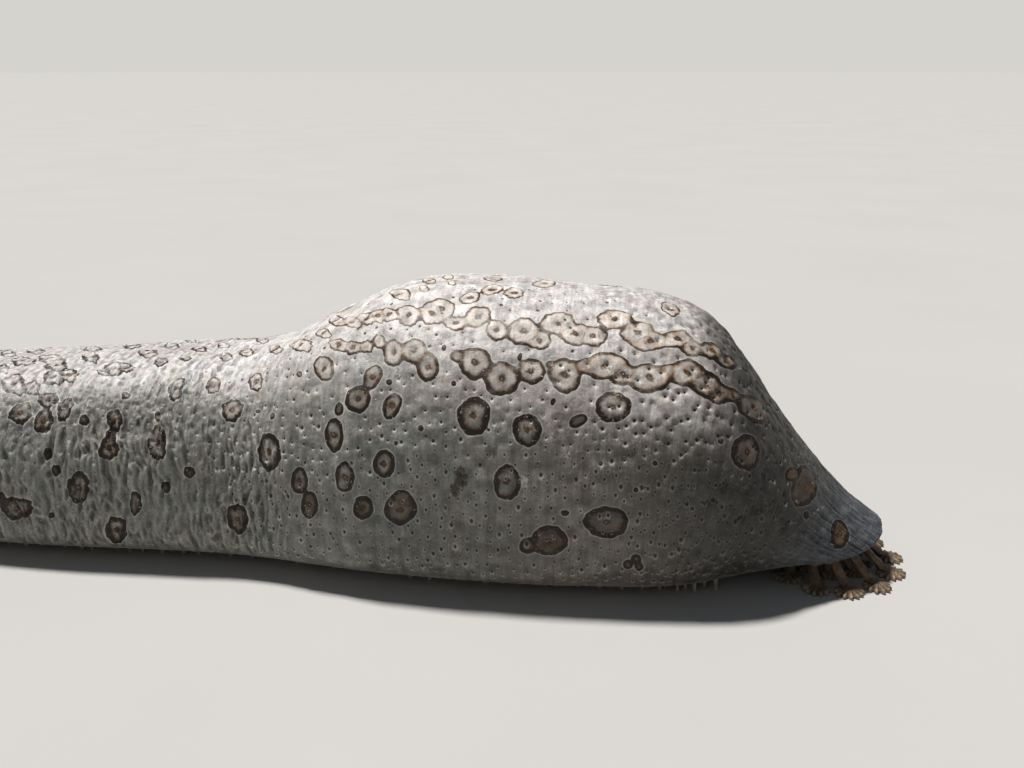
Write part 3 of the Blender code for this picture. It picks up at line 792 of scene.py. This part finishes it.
def skinFields():
    hind = 1 - ease(skinX, -60.0, -8.0)
    # painted shade: the fore part is darkened, least on its top, and so is the low flank under the front of
    # the hump
    fore = ease(skinX, 66.0, 150.0) * (1 - 0.80 * ease(upness, 0.12, 0.55) * (1 - ease(skinX, 125.0, 150.0)))
    fore = np.maximum(fore, 0.34 * ease(skinX, 0.0, 30.0) * (1 - ease(skinZ, 20.0, 48.0)))
    # the back is paler, partly its own colour and partly painted light from above; this reaches further down
    # on the hump than on the hind part, and the puffs' painted highlights add to it
    backness = ease(upness, 0.40 + 0.38 * hind, 0.98 + 0.01 * hind)
    backness = np.maximum(backness, 0.55 * puffLight) * (1 - 0.80 * ease(skinX, 118.0, 156.0))
    onBack = ease(upness, 0.30, 0.85) * (1 - ease(skinX, 118.0, 140.0))
    width = 0.72 + 0.80 * hind + (0.93 - 0.55 * hind) * (1 - onBack)
    return {
        "spotEdge": spotEdge, "spotSplit": spotSplit, "spotOffset": spotOffset, "spotTone": spotTone,
        "spotSeam": spotSeam, "spotBig": spotBig,
        "spotWidth": width * np.clip(0.45 + spotSize / 9.0, 0.6, 1.1),
        "spotLoose": ease(upness, 0.72, 0.97) * (0.40 + 0.15 * hind),
        "poreOffset": poreOffset, "poreSize": poreSize, "raised": raised, "onBack": onBack,
        "backness": backness, "soleness": ease(-upness, 0.72, 0.98), "foreShading": fore, "hind": hind,
        "gathered": ease(alongMap, bodyLength - 32, bodyLength - 8), "creaseShading": creaseShading, "pinch": pinchMap,
        "stain": stainMap, "smear": smearMap, "brownness": ease(skinX, 20.0, 110.0),
        # shoulder: the hump's upper flank painted paler, painted light from above
        "shoulder": ease(upness, 0.20, 0.54) * ease(skinX, 5.0, 60.0) * (1 - 0.8 * fore),
        "hindShade": hind * ease(upness, 0.20, 0.50) * (1 - ease(upness, 0.72, 0.95)),
        "blush": ease(upness, 0.45, 0.70) * (0.3 * ease(skinX, -20.0, 10.0) + 0.7 * ease(skinX, 78.0, 108.0)),
        "skinMap": unrolled(alongMap, aroundMap),
    }


# Node helpers, each adding to the tree that is being worked on

work = {"tree": None}


def link(value, socket):
    work["tree"].links.new(value, socket)


def addNode(kind, inputs=None, **settings):
    made = work["tree"].nodes.new(kind)
    for key, value in settings.items():
        setattr(made, key, value)
    for key, value in (inputs or {}).items():
        socket = made.inputs[key]
        if isinstance(value, bpy.types.NodeSocket):
            link(value, socket)
        else:
            socket.default_value = (*value, 1.0) if socket.type == "RGBA" else value
    return made


def calc(operation, a, b=0.0, clamp=False):
    return addNode("ShaderNodeMath", {0: a, 1: b}, operation=operation, use_clamp=clamp).outputs[0]


def times(first, *others):
    for other in others:
        first = calc("MULTIPLY", first, other)
    return first


def plus(first, *others):
    for other in others:
        first = calc("ADD", first, other)
    return first


def without(share):
    return calc("SUBTRACT", 1.0, share)


def scaled(vector, factors):
    return addNode("ShaderNodeVectorMath", {0: vector, 1: factors}, operation="MULTIPLY").outputs[0]


def length(vector):
    return addNode("ShaderNodeVectorMath", {0: vector}, operation="LENGTH").outputs["Value"]


def remap(value, low, high, start=0.0, stop=1.0):
    inputs = {"Value": value, "From Min": low, "From Max": high, "To Min": start, "To Max": stop}
    return addNode("ShaderNodeMapRange", inputs, interpolation_type="SMOOTHSTEP").outputs[0]


def grey(value):
    return addNode("ShaderNodeCombineColor", {0: value, 1: value, 2: value}).outputs[0]


def mixColour(factor, a, b, blend="MIX"):
    return addNode("ShaderNodeMix", {0: factor, 6: a, 7: b}, data_type="RGBA", blend_type=blend).outputs[2]


def coated(colour, *coats):
    # a colour with coats laid over it in turn, each given as its mask and its own colour
    for mask, coat in coats:
        colour = mixColour(mask, colour, coat)
    return colour


def noise(vector, scale, detail=2.0, rough=0.5):
    inputs = {"Vector": vector, "Scale": scale, "Detail": detail, "Roughness": rough}
    return addNode("ShaderNodeTexNoise", inputs).outputs["Fac"]


def attribute(name, output="Fac"):
    return addNode("ShaderNodeAttribute", attribute_name=name).outputs[output]


def objectPosition():
    return addNode("ShaderNodeTexCoord").outputs["Object"]


def newGroup(name, inputs, makeParts):
    # inputs maps a socket's name to its value, or to None for a vector; makeParts gives the outputs
    group = bpy.data.node_groups.new(name, "ShaderNodeTree")
    work["tree"] = group
    for key, value in inputs.items():
        kind = "NodeSocketVector" if value is None else "NodeSocketFloat"
        socket = group.interface.new_socket(name=key, in_out="INPUT", socket_type=kind)
        if value is not None:
            socket.default_value = value
    parts = makeParts(group.nodes.new("NodeGroupInput").outputs)
    for key in parts:
        group.interface.new_socket(name=key, in_out="OUTPUT", socket_type="NodeSocketFloat")
    result = group.nodes.new("NodeGroupOutput")
    for key, value in parts.items():
        link(value, result.inputs[key])
    return group


def useGroup(group, inputs):
    return addNode("ShaderNodeGroup", inputs, node_tree=group).outputs


def mottleParts(given):
    # soft blotches and fine grain of flesh
    blotch = noise(given["Vector"], given["Blotch Size"], 3.0, 0.55)
    grain = noise(given["Vector"], given["Grain Size"], 2.0, 0.6)
    return {"Blotch": remap(blotch, 0.3, 0.7), "Grain": remap(grain, 0.3, 0.7)}


def siltParts(given):
    # fine sediment that settles on what faces up, in patches and single specks
    normal = addNode("ShaderNodeNewGeometry").outputs["Normal"]
    facing = remap(addNode("ShaderNodeSeparateXYZ", {0: normal}).outputs["Z"], 0.15, 0.95)
    patches = remap(noise(given["Vector"], 120.0, 4.0, 0.65), 0.50, 0.74)
    specks = remap(noise(given["Vector"], 1250.0, 1.0, 0.5), 0.70, 0.75)
    both = calc("MAXIMUM", times(patches, facing), specks)
    return {"Mask": calc("MULTIPLY", both, given["Amount"], True)}


def ringParts(given):
    # a spot's parts, from the distances to its outline, to the next spot and to its centre
    edge, centre, big = given["Edge"], given["Centre"], given["Big"]
    depth = calc("DIVIDE", times(edge, -1.0), given["Width"])
    return {
        "Inside": remap(edge, 0.10, -0.10),
        "Core": remap(depth, 1.45, 0.75),
        "Brown": remap(depth, 2.15, 1.0),
        "Halo": times(remap(edge, 0.62, 0.25), remap(edge, -0.05, 0.2)),
        "Glow": times(remap(centre, 2.2, 0.6), big),
        "Dot": times(remap(centre, 1.70, 0.70), big),
        # Tip: painted highlight on the papilla in the spot's middle
        "Tip": times(remap(centre, 0.40, 0.15), big),
        "Seam": times(remap(given["Split"], 1.3, 0.1), remap(edge, -3.6, -0.8, 0.25, 1.0)),
    }


mottleSockets = {"Vector": None, "Blotch Size": 90.0, "Grain Size": 900.0}
ringSockets = {"Edge": 5.0, "Width": 1.2, "Split": 5.0, "Centre": 9.0, "Big": 1.0}
mottleGroup = newGroup("fleshMottle", mottleSockets, mottleParts)
siltGroup = newGroup("siltDusting", {"Vector": None, "Amount": 0.5}, siltParts)
ringGroup = newGroup("spotRing", ringSockets, ringParts)


def newMaterial(name, roughness, specular):
    # a new material and the sockets of its shader
    look = bpy.data.materials.new(name)
    look.use_nodes = True
    work["tree"] = look.node_tree
    shader = look.node_tree.nodes["Principled BSDF"].inputs
    shader["Roughness"].default_value = roughness
    shader["Specular IOR Level"].default_value = specular
    return look, shader


def addBump(shader, height, strength, distance):
    bump = addNode("ShaderNodeBump", {"Height": height, "Strength": strength, "Distance": distance})
    link(bump.outputs[0], shader["Normal"])


skinColours = {
    "flankGreen": (0.184, 0.190, 0.168),
    "flankBrown": (0.206, 0.176, 0.158),
    "flankDark": (0.120, 0.114, 0.103),
    # shoulder: painted light from above on the hump's upper flank
    "shoulder": (0.330, 0.285, 0.272),
    # fore: dark colour of the painted shade over the fore part
    "fore": (0.028, 0.026, 0.021),
    # back colours: the back's own paler colour with painted light from above laid in
    "back": (0.515, 0.498, 0.492),
    "backHind": (0.415, 0.405, 0.400),
    "backBrown": (0.400, 0.345, 0.325),
    "sole": (0.480, 0.420, 0.340),
    # collar: dark skin round the lip, painted shade
    "collar": (0.064, 0.069, 0.077),
    "halo": (0.480, 0.465, 0.425),
    "ringDark": (0.014, 0.008, 0.005),
    "ringDarkBack": (0.036, 0.018, 0.009),
    "ringDarkHind": (0.014, 0.008, 0.005),
    "ringBrown": (0.098, 0.060, 0.028),
    "ringBrownBack": (0.240, 0.138, 0.070),
    "ringBrownHind": (0.110, 0.074, 0.037),
    "inside": (0.190, 0.193, 0.184),
    "insideBack": (0.520, 0.470, 0.425),
    "insideDark": (0.036, 0.024, 0.015),
    "blush": (0.380, 0.245, 0.150),
    "glow": (0.250, 0.120, 0.040),
    "dot": (0.030, 0.014, 0.006),
    "pore": (0.022, 0.015, 0.010),
    # painted highlight on the rim below each pore
    "poreHighlight": (0.520, 0.500, 0.460),
    "silt": (0.560, 0.530, 0.465),
    "stain": (0.040, 0.032, 0.016),
    # papilla: pale tip of a papilla, a painted highlight
    "papilla": (0.620, 0.590, 0.550),
    # middle: the painted highlight on a spot's middle papilla
    "middle": (0.480, 0.390, 0.290),
    "pale": (0.400, 0.330, 0.250),
}

# strengths of the coats of colour, and the finish of the surface
skinFinish = {
    "mottle": {"Blotch Size": 85.0, "Grain Size": 900.0},  # noise cells per metre
    # the crease strength below scales the painted shade in the creases and the painted light on raised skin
    "blotches": 0.5, "grain": 0.34, "streaks": 0.36, "creaseShadeStrength": 1.1,
    # the pores' rim and the papillae's tips below are painted highlights
    "ring": 0.80, "dot": 0.92, "halo": 0.48, "glow": 0.55,
    "pore": 0.92, "poreHighlight": 0.66, "papilla": 0.25,
    "silt": 0.62, "smear": 0.75, "stain": 0.95,
    "roughness": 0.42, "wrinkle": (0.7, 0.0005),  # strength and depth of the bumps, in metres
}


def spottedSkin(fields):
    look, shader = newMaterial("spottedSkin", 0.5, 0.3)
    c, f = skinColours, skinFinish
    on = {key: attribute(key, "Vector" if values.ndim > 1 else "Fac") for key, values in fields.items()}
    hind, onBack, tone = on["hind"], on["onBack"], on["spotTone"]
    position = objectPosition()
    mottle = useGroup(mottleGroup, {"Vector": position, **f["mottle"]})
    upright = scaled(on["skinMap"], (0.55, 0.045, 1.0))
    # plain skin: blotches, faint upright streaks and grain
    tint = plus(times(mottle["Blotch"], f["blotches"]), times(on["brownness"], 0.5))
    smudge = times(remap(noise(upright, 0.35, 4.0, 0.7), 0.46, 0.70), 0.55)
    brownish = remap(noise(position, 130.0, 3.0, 0.6), 0.42, 0.64)
    back = coated(c["back"], (hind, c["backHind"]), (times(brownish, 0.7), c["backBrown"]))
    base = coated(
        c["flankGreen"],
        (tint, c["flankBrown"]),
        (calc("MAXIMUM", smudge, times(on["hindShade"], 0.75)), c["flankDark"]),
        # painted light on the hump's upper flank
        (times(on["shoulder"], 0.52), c["shoulder"]),
        # paler back: own colour and painted light from above
        (on["backness"], back),
        # painted shade over the fore part
        (times(on["foreShading"], 0.95), c["fore"]),
        (on["soleness"], c["sole"]),
        # painted shade over the wrinkles round the lip
        (times(on["gathered"], 0.85), c["collar"]),
    )
    streaks = remap(noise(upright, 1.0, 3.0, 0.6), 0.3, 0.7)
    shade = grey(plus(times(mottle["Grain"], f["grain"]), times(streaks, f["streaks"]), 0.66))
    base = mixColour(1.0, base, shade, "MULTIPLY")
    # spots
    uneven = remap(noise(position, 260.0), 0.3, 0.7, 0.72, 1.3)
    frayed = remap(noise(position, 520.0), 0.3, 0.7, 0.65, 1.45)
    ring = useGroup(ringGroup, {
        "Edge": on["spotEdge"], "Split": on["spotSplit"], "Big": on["spotBig"],
        "Width": times(on["spotWidth"], uneven), "Centre": times(length(on["spotOffset"]), frayed)})
    # spot insides on the back are paler too: own colour and painted light from above
    paleness = calc("MAXIMUM", on["backness"], times(on["shoulder"], onBack, 0.8))
    inside = mixColour(paleness, c["inside"], c["insideBack"])
    inside = mixColour(plus(times(hind, 0.60), 0.3), inside, base)
    inside = mixColour(0.7, inside, shade, "MULTIPLY")
    blush = remap(noise(position, 330.0, 2.0, 0.6), 0.44, 0.66)
    light = times(onBack, without(tone))
    dark, brown = (mixColour(light, c[key], mixColour(hind, c[key + "Back"], c[key + "Hind"]))
                   for key in ("ringDark", "ringBrown"))
    broken = remap(noise(position, 210.0, 1.0), 0.48, 0.58)
    whole = without(times(on["spotLoose"], broken, 0.85))
    inside = coated(
        inside,
        (times(blush, on["blush"], 0.6), c["blush"]),
        # tone darkens insides: the spots' own dark insides, and painted shade towards the head
        (tone, c["insideDark"]),
        (times(ring["Brown"], whole, calc("SUBTRACT", f["ring"], times(hind, onBack, 0.50))), brown),
        (times(ring["Seam"], on["spotSeam"]), brown),
        (times(ring["Glow"], calc("SUBTRACT", f["glow"], times(hind, 0.20))), c["glow"]),
        (times(ring["Core"], whole), dark),
        (times(ring["Dot"], f["dot"]), c["dot"]),
        # painted highlight on the spot's middle papilla
        (times(ring["Tip"], 0.22), c["middle"]),
    )
    # the fore part's painted shade also dims the halo, the pores' painted highlights and the silt
    outsideForeShade = without(times(on["foreShading"], 0.75))
    base = mixColour(times(ring["Halo"], whole, outsideForeShade, f["halo"]), base, c["halo"])
    colour = mixColour(ring["Inside"], base, inside)
    # pores: a dark dot with a painted highlight on the rim below it, or a papilla whose pale tip is a painted
    # highlight
    pore = length(scaled(on["poreOffset"], (1.15, 1.15, 0.80)))
    poreSpan = plus(times(calc("POWER", on["poreSize"], 3.0), 0.30), 0.31)
    poreShare = calc("DIVIDE", pore, poreSpan)
    smooth = without(on["gathered"])
    closed = calc("MAXIMUM", on["raised"], on["soleness"])
    opened = times(without(closed), smooth, without(times(hind, 0.6)))
    offsetZ = addNode("ShaderNodeSeparateXYZ", {0: on["poreOffset"]}).outputs["Z"]
    # painted highlight: the lower side of each pore, where its wall would face the light
    below = remap(calc("DIVIDE", offsetZ, pore), 0.5, -0.9, 0.25, 1.0)
    hole = times(remap(poreShare, 1.5, 0.75), opened, f["pore"])
    colour = coated(
        colour,
        (times(remap(poreShare, 2.9, 1.4), opened, below, outsideForeShade, f["poreHighlight"]), c["poreHighlight"]),
        (hole, c["pore"]),
        # painted highlight on each papilla's tip
        (times(remap(pore, 0.5, 0.2), on["raised"], smooth, f["papilla"]), c["papilla"]),
    )
    # painted shade in the creases of the wrinkles, and painted light on the raised skin between them
    colour = mixColour(1.0, colour, grey(plus(times(on["creaseShading"], f["creaseShadeStrength"]), 0.45)), "MULTIPLY")
    patchy = remap(noise(position, 380.0, 3.0, 0.7), 0.24, 0.46)
    crumbs = remap(noise(position, 1200.0, 2.0, 0.7), 0.47, 0.56)
    silt = useGroup(siltGroup, {"Vector": position, "Amount": f["silt"]})["Mask"]
    silt = times(calc("MAXIMUM", silt, times(on["smear"], crumbs, f["smear"])), outsideForeShade)
    colour = coated(colour, (times(on["stain"], patchy, f["stain"]), c["stain"]), (silt, c["silt"]))
    link(colour, shader["Base Color"])
    rough = plus(times(mottle["Grain"], 0.12), f["roughness"])
    link(calc("ADD", times(silt, 0.3), rough, True), shader["Roughness"])
    # fine wrinkles across the body, and grain
    lined = calc("MAXIMUM", on["pinch"], times(on["foreShading"], 0.6))
    lines = times(noise(scaled(on["skinMap"], (0.95, 0.14, 1.0)), 1.0, 2.0, 0.6), plus(lined, 0.35))
    fine = plus(times(noise(position, 380.0, 2.0, 0.6), 0.8), times(noise(position, 1100.0, 2.0, 0.6), 0.3))
    dented = calc("SUBTRACT", times(silt, 0.5), times(hole, 0.5))
    addBump(shader, plus(lines, fine, dented), *f["wrinkle"])
    shader["Subsurface Weight"].default_value = 0.05
    shader["Subsurface Radius"].default_value = (0.0016, 0.0010, 0.0007)
    shader["Subsurface Scale"].default_value = 1.0
    return look


report("making the skin")
skinValues = skinFields()
skin = addPiece("skin", skinMesh(skinValues), spottedSkin(skinValues))
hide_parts("anal_end", "hind_body", "waist", "hump", "fore_body", "head_end")


# Tube feet of the sole, standing on the floor

feet = {
    "spacing": 3.6, "radius": 0.85, "sides": 10, "spread": 0.665, "tallest": 2.7, "span": (-192.0, 141.0),
    "radii": (1.25, 1.0, 0.95, 1.25, 1.125),  # shares of the radius, from the skin down to the floor
    "tips": (0.0, 0.0, 0.1, 0.4, 0.5),        # how pale the foot is at each of them
}


def plainFlesh(name, dark, pale, roughness, siltAmount):
    look, shader = newMaterial(name, roughness, 0.35)
    position = objectPosition()
    mottle = useGroup(mottleGroup, {"Vector": position, "Blotch Size": 260.0, "Grain Size": 1500.0})
    silt = useGroup(siltGroup, {"Vector": position, "Amount": siltAmount})["Mask"]
    colour = coated(
        dark,
        (mottle["Blotch"], pale),
        (times(attribute("tip"), 0.8), skinColours["pale"]),
        (silt, skinColours["silt"]),
    )
    link(colour, shader["Base Color"])
    addBump(shader, mottle["Grain"], 0.5, 0.0003)
    return look


def footMesh():
    rng = random.Random(8)
    points, quads, caps, tips = [], [], [], []
    x, stop = feet["span"]
    row, made = 0, 0
    _, circle = flatCircle(feet["sides"])
    sole = smoothThrough(places, sectionRows, np.linspace(0, bodyLength, 800))
    while x < stop:
        half = float(np.interp(x, sole[:, 0], sole[:, 4])) * feet["spread"]
        level = float(np.interp(x, sole[:, 0], sole[:, 1]))
        count = int(2 * half / feet["spacing"])
        for n in range(count):
            offset = -half + (n + 0.5 + 0.25 * (-1) ** row + rng.uniform(-0.3, 0.3)) * 2 * half / count
            px = x + rng.uniform(-1.6, 1.6)
            py = float(middleY(px)[0]) + offset
            radius = feet["radius"] * rng.uniform(0.7, 1.15)
            top = level + 1.6 * max(0.0, abs(offset) / half - 0.8)
            if top > feet["tallest"]:
                continue
            rise = top + 2.0
            lean = np.array([rng.uniform(-0.4, 0.4), rng.uniform(-0.4, 0.4), 0])
            heights = [rise, top * 0.8, 0.9, 0.35, 0.0]
            centres = [np.array([px, py, h]) + lean * (1 - h / rise) for h in heights]
            points += [c + circle * radius * r for c, r in zip(centres, feet["radii"])]
            points.append(np.array([centres[0], centres[-1]]))
            q, c = tubeFaces(len(heights), feet["sides"], made)
            made += len(heights) * feet["sides"] + 2
            quads.append(q[:, ::-1])
            caps.append(c[:, ::-1])
            tips.append(np.repeat(feet["tips"], feet["sides"]))
            tips.append(np.array([feet["tips"][0], feet["tips"][-1]]))
        x += feet["spacing"] * 0.95
        row += 1
    mesh = meshFromArrays("tube_feet", np.concatenate(points), [np.concatenate(quads), np.concatenate(caps)])
    addAttribute(mesh, "tip", np.concatenate(tips))
    return mesh


report("making the tube feet")
footLook = plainFlesh("tubeFootFlesh", (0.30, 0.24, 0.18), (0.44, 0.38, 0.30), 0.45, 0.3)
addPiece("tube_feet", footMesh(), footLook)


# Mouth end: the disc in the lip, and the tentacles on the floor

mouth = {
    "lipWidth": 3.6, "recess": 2.6, "gap": 0.3, "thickness": 1.9, "margin": 0.5,
    "mouthRadius": 3.8, "folds": 28,
}
tentacles = {
    "centre": (187.0, -27.3),
    "outer": {"count": 12, "oval": (21.8, 27.0), "shield": 4.9, "stalk": 1.7, "base": 0.70, "shift": 0.0,
              "clearance": 0.25},
    "inner": {"count": 8, "oval": (11.4, 13.4), "shield": 3.6, "stalk": 1.4, "base": 0.38, "shift": 0.5,
              "clearance": 0.35},
    "thickness": 2.3, "points": 84, "lobes": 12,
    # share of the shield's radius and of its thickness, from its top down to the floor
    "profile": [(0.45, 0.98), (0.60, 0.92), (0.75, 0.84), (0.88, 0.74), (0.96, 0.60), (1.0, 0.40),
                (0.99, 0.18), (0.95, 0.0)],
}


def mouthFrame():
    # edge of the mouth's floor, and directions out of the mouth, up and to the side
    rim, _ = sectionRing(bodyLength, 120)
    outward = sectionNormal(bodyLength)
    _, up, _, side, _, _ = sectionFrame(bodyLength)
    return inset(rim, mouth["lipWidth"], -outward * mouth["recess"]), outward, up, side


def mouthDiscMesh():
    floor, outward, _, _ = mouthFrame()
    turns, _ = flatCircle(len(floor))
    top = mouth["gap"] + mouth["thickness"]
    rings = [inset(floor, mouth["margin"], outward * h) for h in (mouth["gap"], top - 0.5)]
    reach = norm(floor - floor.mean(axis=0), axis=1, keepdims=True) - mouth["mouthRadius"] * 0.35
    for t in np.linspace(0.04, 1.0, 22):
        dish = 0.45 * math.sin(math.pi * min(t * 1.2, 1.0)) - 1.9 * max(0.0, t - 0.8) / 0.2
        fold = 0.16 * np.cos(turns * mouth["folds"] + 3 * t) * math.sin(math.pi * min(1.0, t * 1.1))
        rise = outward * (top - 0.25 + dish + fold)[:, None]
        rings.append(inset(floor, reach * t + mouth["margin"] * (1 - t), rise))
    return meshFromArrays("mouth_disc_flesh", *closedTube(rings))


def tentacleMesh(name, angle, kind, rng):
    floor, outward, up, side = mouthFrame()
    forward = unit(up)
    reachX, reachY = norm(up) - mouth["lipWidth"], norm(side) - mouth["lipWidth"]
    side = unit(side)
    share = kind["base"]
    spread = math.cos(angle) * reachX * forward + math.sin(angle) * reachY * side
    clear = 2 * mouth["gap"] + mouth["thickness"] + kind["clearance"]
    start = floor.mean(axis=0) + share * spread + outward * clear
    heading = np.array([-side[1], side[0], 0.0])
    heading = heading if heading[0] > 0 else -heading
    pad = np.array([*tentacles["centre"], 0.0])
    pad = pad + math.cos(angle) * kind["oval"][0] * heading + math.sin(angle) * kind["oval"][1] * side
    thick = tentacles["thickness"]
    neck = np.array([*(pad[:2] * 0.75 + start[:2] * 0.25), thick * 1.15])
    turns, circle = flatCircle(tentacles["points"])
    tilted = circle - np.outer(circle @ outward, outward)
    rings = []
    for t in np.linspace(0, 1, 9):
        bow = outward * (start[2] - neck[2]) * 0.25 * math.sin(math.pi * t)
        radius = kind["stalk"] * (1 + 0.25 * t * t) * (1 + 0.06 * math.sin(t * 26 + angle * 3))
        middle = start * (1 - t) + neck * t + bow * (1 - t)
        rings.append(middle + (tilted * (1 - t) + circle * t) * radius)
    lobes = tentacles["lobes"]
    phase = rng.uniform(0, 6.28)
    wave = 0.5 + 0.5 * np.cos(turns * lobes + phase)
    twig = 0.5 + 0.5 * np.cos(turns * lobes * 3 + phase * 2 + 0.8)
    outline = 0.74 + 0.30 * wave**0.8 + 0.10 * twig * wave
    outline = outline * (1 + 0.05 * np.cos(turns * 2 + rng.uniform(0, 6.28)))
    for t, h in tentacles["profile"]:
        shape = 1 + (outline - 1) * ease(t, 0.4, 0.95)
        groove = 0.30 * (1 - wave) * ease(t, 0.45, 0.8) if h > 0.1 else 0.0
        ring = pad + circle * (kind["shield"] * t * shape)[:, None]
        ring[:, 2] = np.maximum(thick * (h - groove), 0.0)
        rings.append(ring)
    rings.append(pad + circle * kind["shield"] * 0.5)
    mesh = meshFromArrays(name, *closedTube(rings))
    tip = np.zeros((len(rings), len(turns)))
    tip[12:16] = 0.55 * wave  # the lobes' upper edges are pale
    addAttribute(mesh, "tip", np.append(tip.ravel(), [0.0, 0.0]))
    return mesh


report("making the mouth")
discLook = plainFlesh("mouthDiscFlesh", (0.060, 0.038, 0.024), (0.140, 0.095, 0.060), 0.4, 0.1)
disc = addPiece("mouth_disc_flesh", mouthDiscMesh(), discLook)
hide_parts("mouth_disc")
tentacleLook = plainFlesh("tentacleFlesh", (0.075, 0.045, 0.026), (0.210, 0.140, 0.085), 0.45, 0.25)
tentacleRng = random.Random(21)
number = 0
for kind in (tentacles["outer"], tentacles["inner"]):
    for k in range(kind["count"]):
        number += 1
        name = "tentacle_%02d_flesh" % number
        angle = 2 * math.pi * (k + 0.5 + kind["shift"]) / kind["count"]
        piece = addPiece(name, tentacleMesh(name, angle, kind, tentacleRng), tentacleLook)
        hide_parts("tentacle_%02d" % number)


# Floor, light and camera

studio = {
    "floorRadius": 30.0,
    "floorColour": (0.415, 0.405, 0.39),
    "backdrop": (0.665, 0.65, 0.615),
    "world": (0.80, 0.88, 1.0),
    "worldStrength": 0.14,
    # kind, place and aim of each light, then its own settings
    "lights": {
        "key": ("SUN", (-0.30, 0.12, 0.95), (0.0, 0.0, 0.0),
                {"angle": math.radians(7.0), "energy": 5.3, "color": (1.0, 0.985, 0.96)}),
        "fill": ("AREA", (-0.5, -1.5, 0.9), (0.0, 0.0, 0.04),
                 {"size": 1.2, "energy": 1.5, "color": (0.92, 0.96, 1.0)}),
    },
}


def makeFloor():
    mesh = bpy.data.meshes.new("floor")
    _, rim = flatCircle(96)
    mesh.from_pydata((rim * studio["floorRadius"]).tolist(), [], [tuple(range(len(rim)))])
    floor = bpy.data.objects.new("floor", mesh)
    bpy.context.scene.collection.objects.link(floor)
    look, shader = newMaterial("paleFloor", 0.85, 0.1)
    tone = remap(noise(objectPosition(), 6.0, 4.0), 0.2, 0.8)
    light, dark = (tuple(v * share for v in studio["floorColour"]) for share in (1.02, 0.98))
    link(mixColour(tone, dark, light), shader["Base Color"])
    mesh.materials.append(look)


def makeLight(name, kind, place, aim, settings):
    data = bpy.data.lights.new(name, kind)
    for key, value in settings.items():
        setattr(data, key, value)
    light = bpy.data.objects.new(name, data)
    light.location = place
    light.rotation_euler = (Vector(aim) - Vector(place)).to_track_quat("-Z", "Y").to_euler()
    bpy.context.scene.collection.objects.link(light)


def makeWorld():
    # a faint blue light from all round; the camera sees a plain pale backdrop in its place
    world = bpy.data.worlds.new("studio")
    world.use_nodes = True
    work["tree"] = world.node_tree
    background = world.node_tree.nodes["Background"]
    background.inputs["Color"].default_value = (*studio["world"], 1.0)
    background.inputs["Strength"].default_value = studio["worldStrength"]
    seen = addNode("ShaderNodeBackground", {"Color": studio["backdrop"], "Strength": 1.0})
    path = addNode("ShaderNodeLightPath")
    shaders = {0: path.outputs["Is Camera Ray"], 1: background.outputs[0], 2: seen.outputs[0]}
    mix = addNode("ShaderNodeMixShader", shaders)
    link(mix.outputs[0], world.node_tree.nodes["World Output"].inputs["Surface"])
    bpy.context.scene.world = world


def makeCamera():
    data = bpy.data.cameras.new("camera")
    data.sensor_width = 36.0
    data.lens = 36.0 * camera["focalPixels"] / camera["imageSize"][0]
    data.clip_start = 0.01
    data.clip_end = 100.0
    made = bpy.data.objects.new("camera", data)
    made.location = [v * mm for v in camera["place"]]
    made.rotation_euler = (math.radians(90.0 - camera["pitchDown"]), 0.0, 0.0)
    bpy.context.scene.collection.objects.link(made)
    bpy.context.scene.camera = made


makeFloor()
for name, lamp in studio["lights"].items():
    makeLight(name, *lamp)
makeWorld()
makeCamera()
bpy.context.scene.view_settings.view_transform = "Standard"

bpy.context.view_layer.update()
report("done")
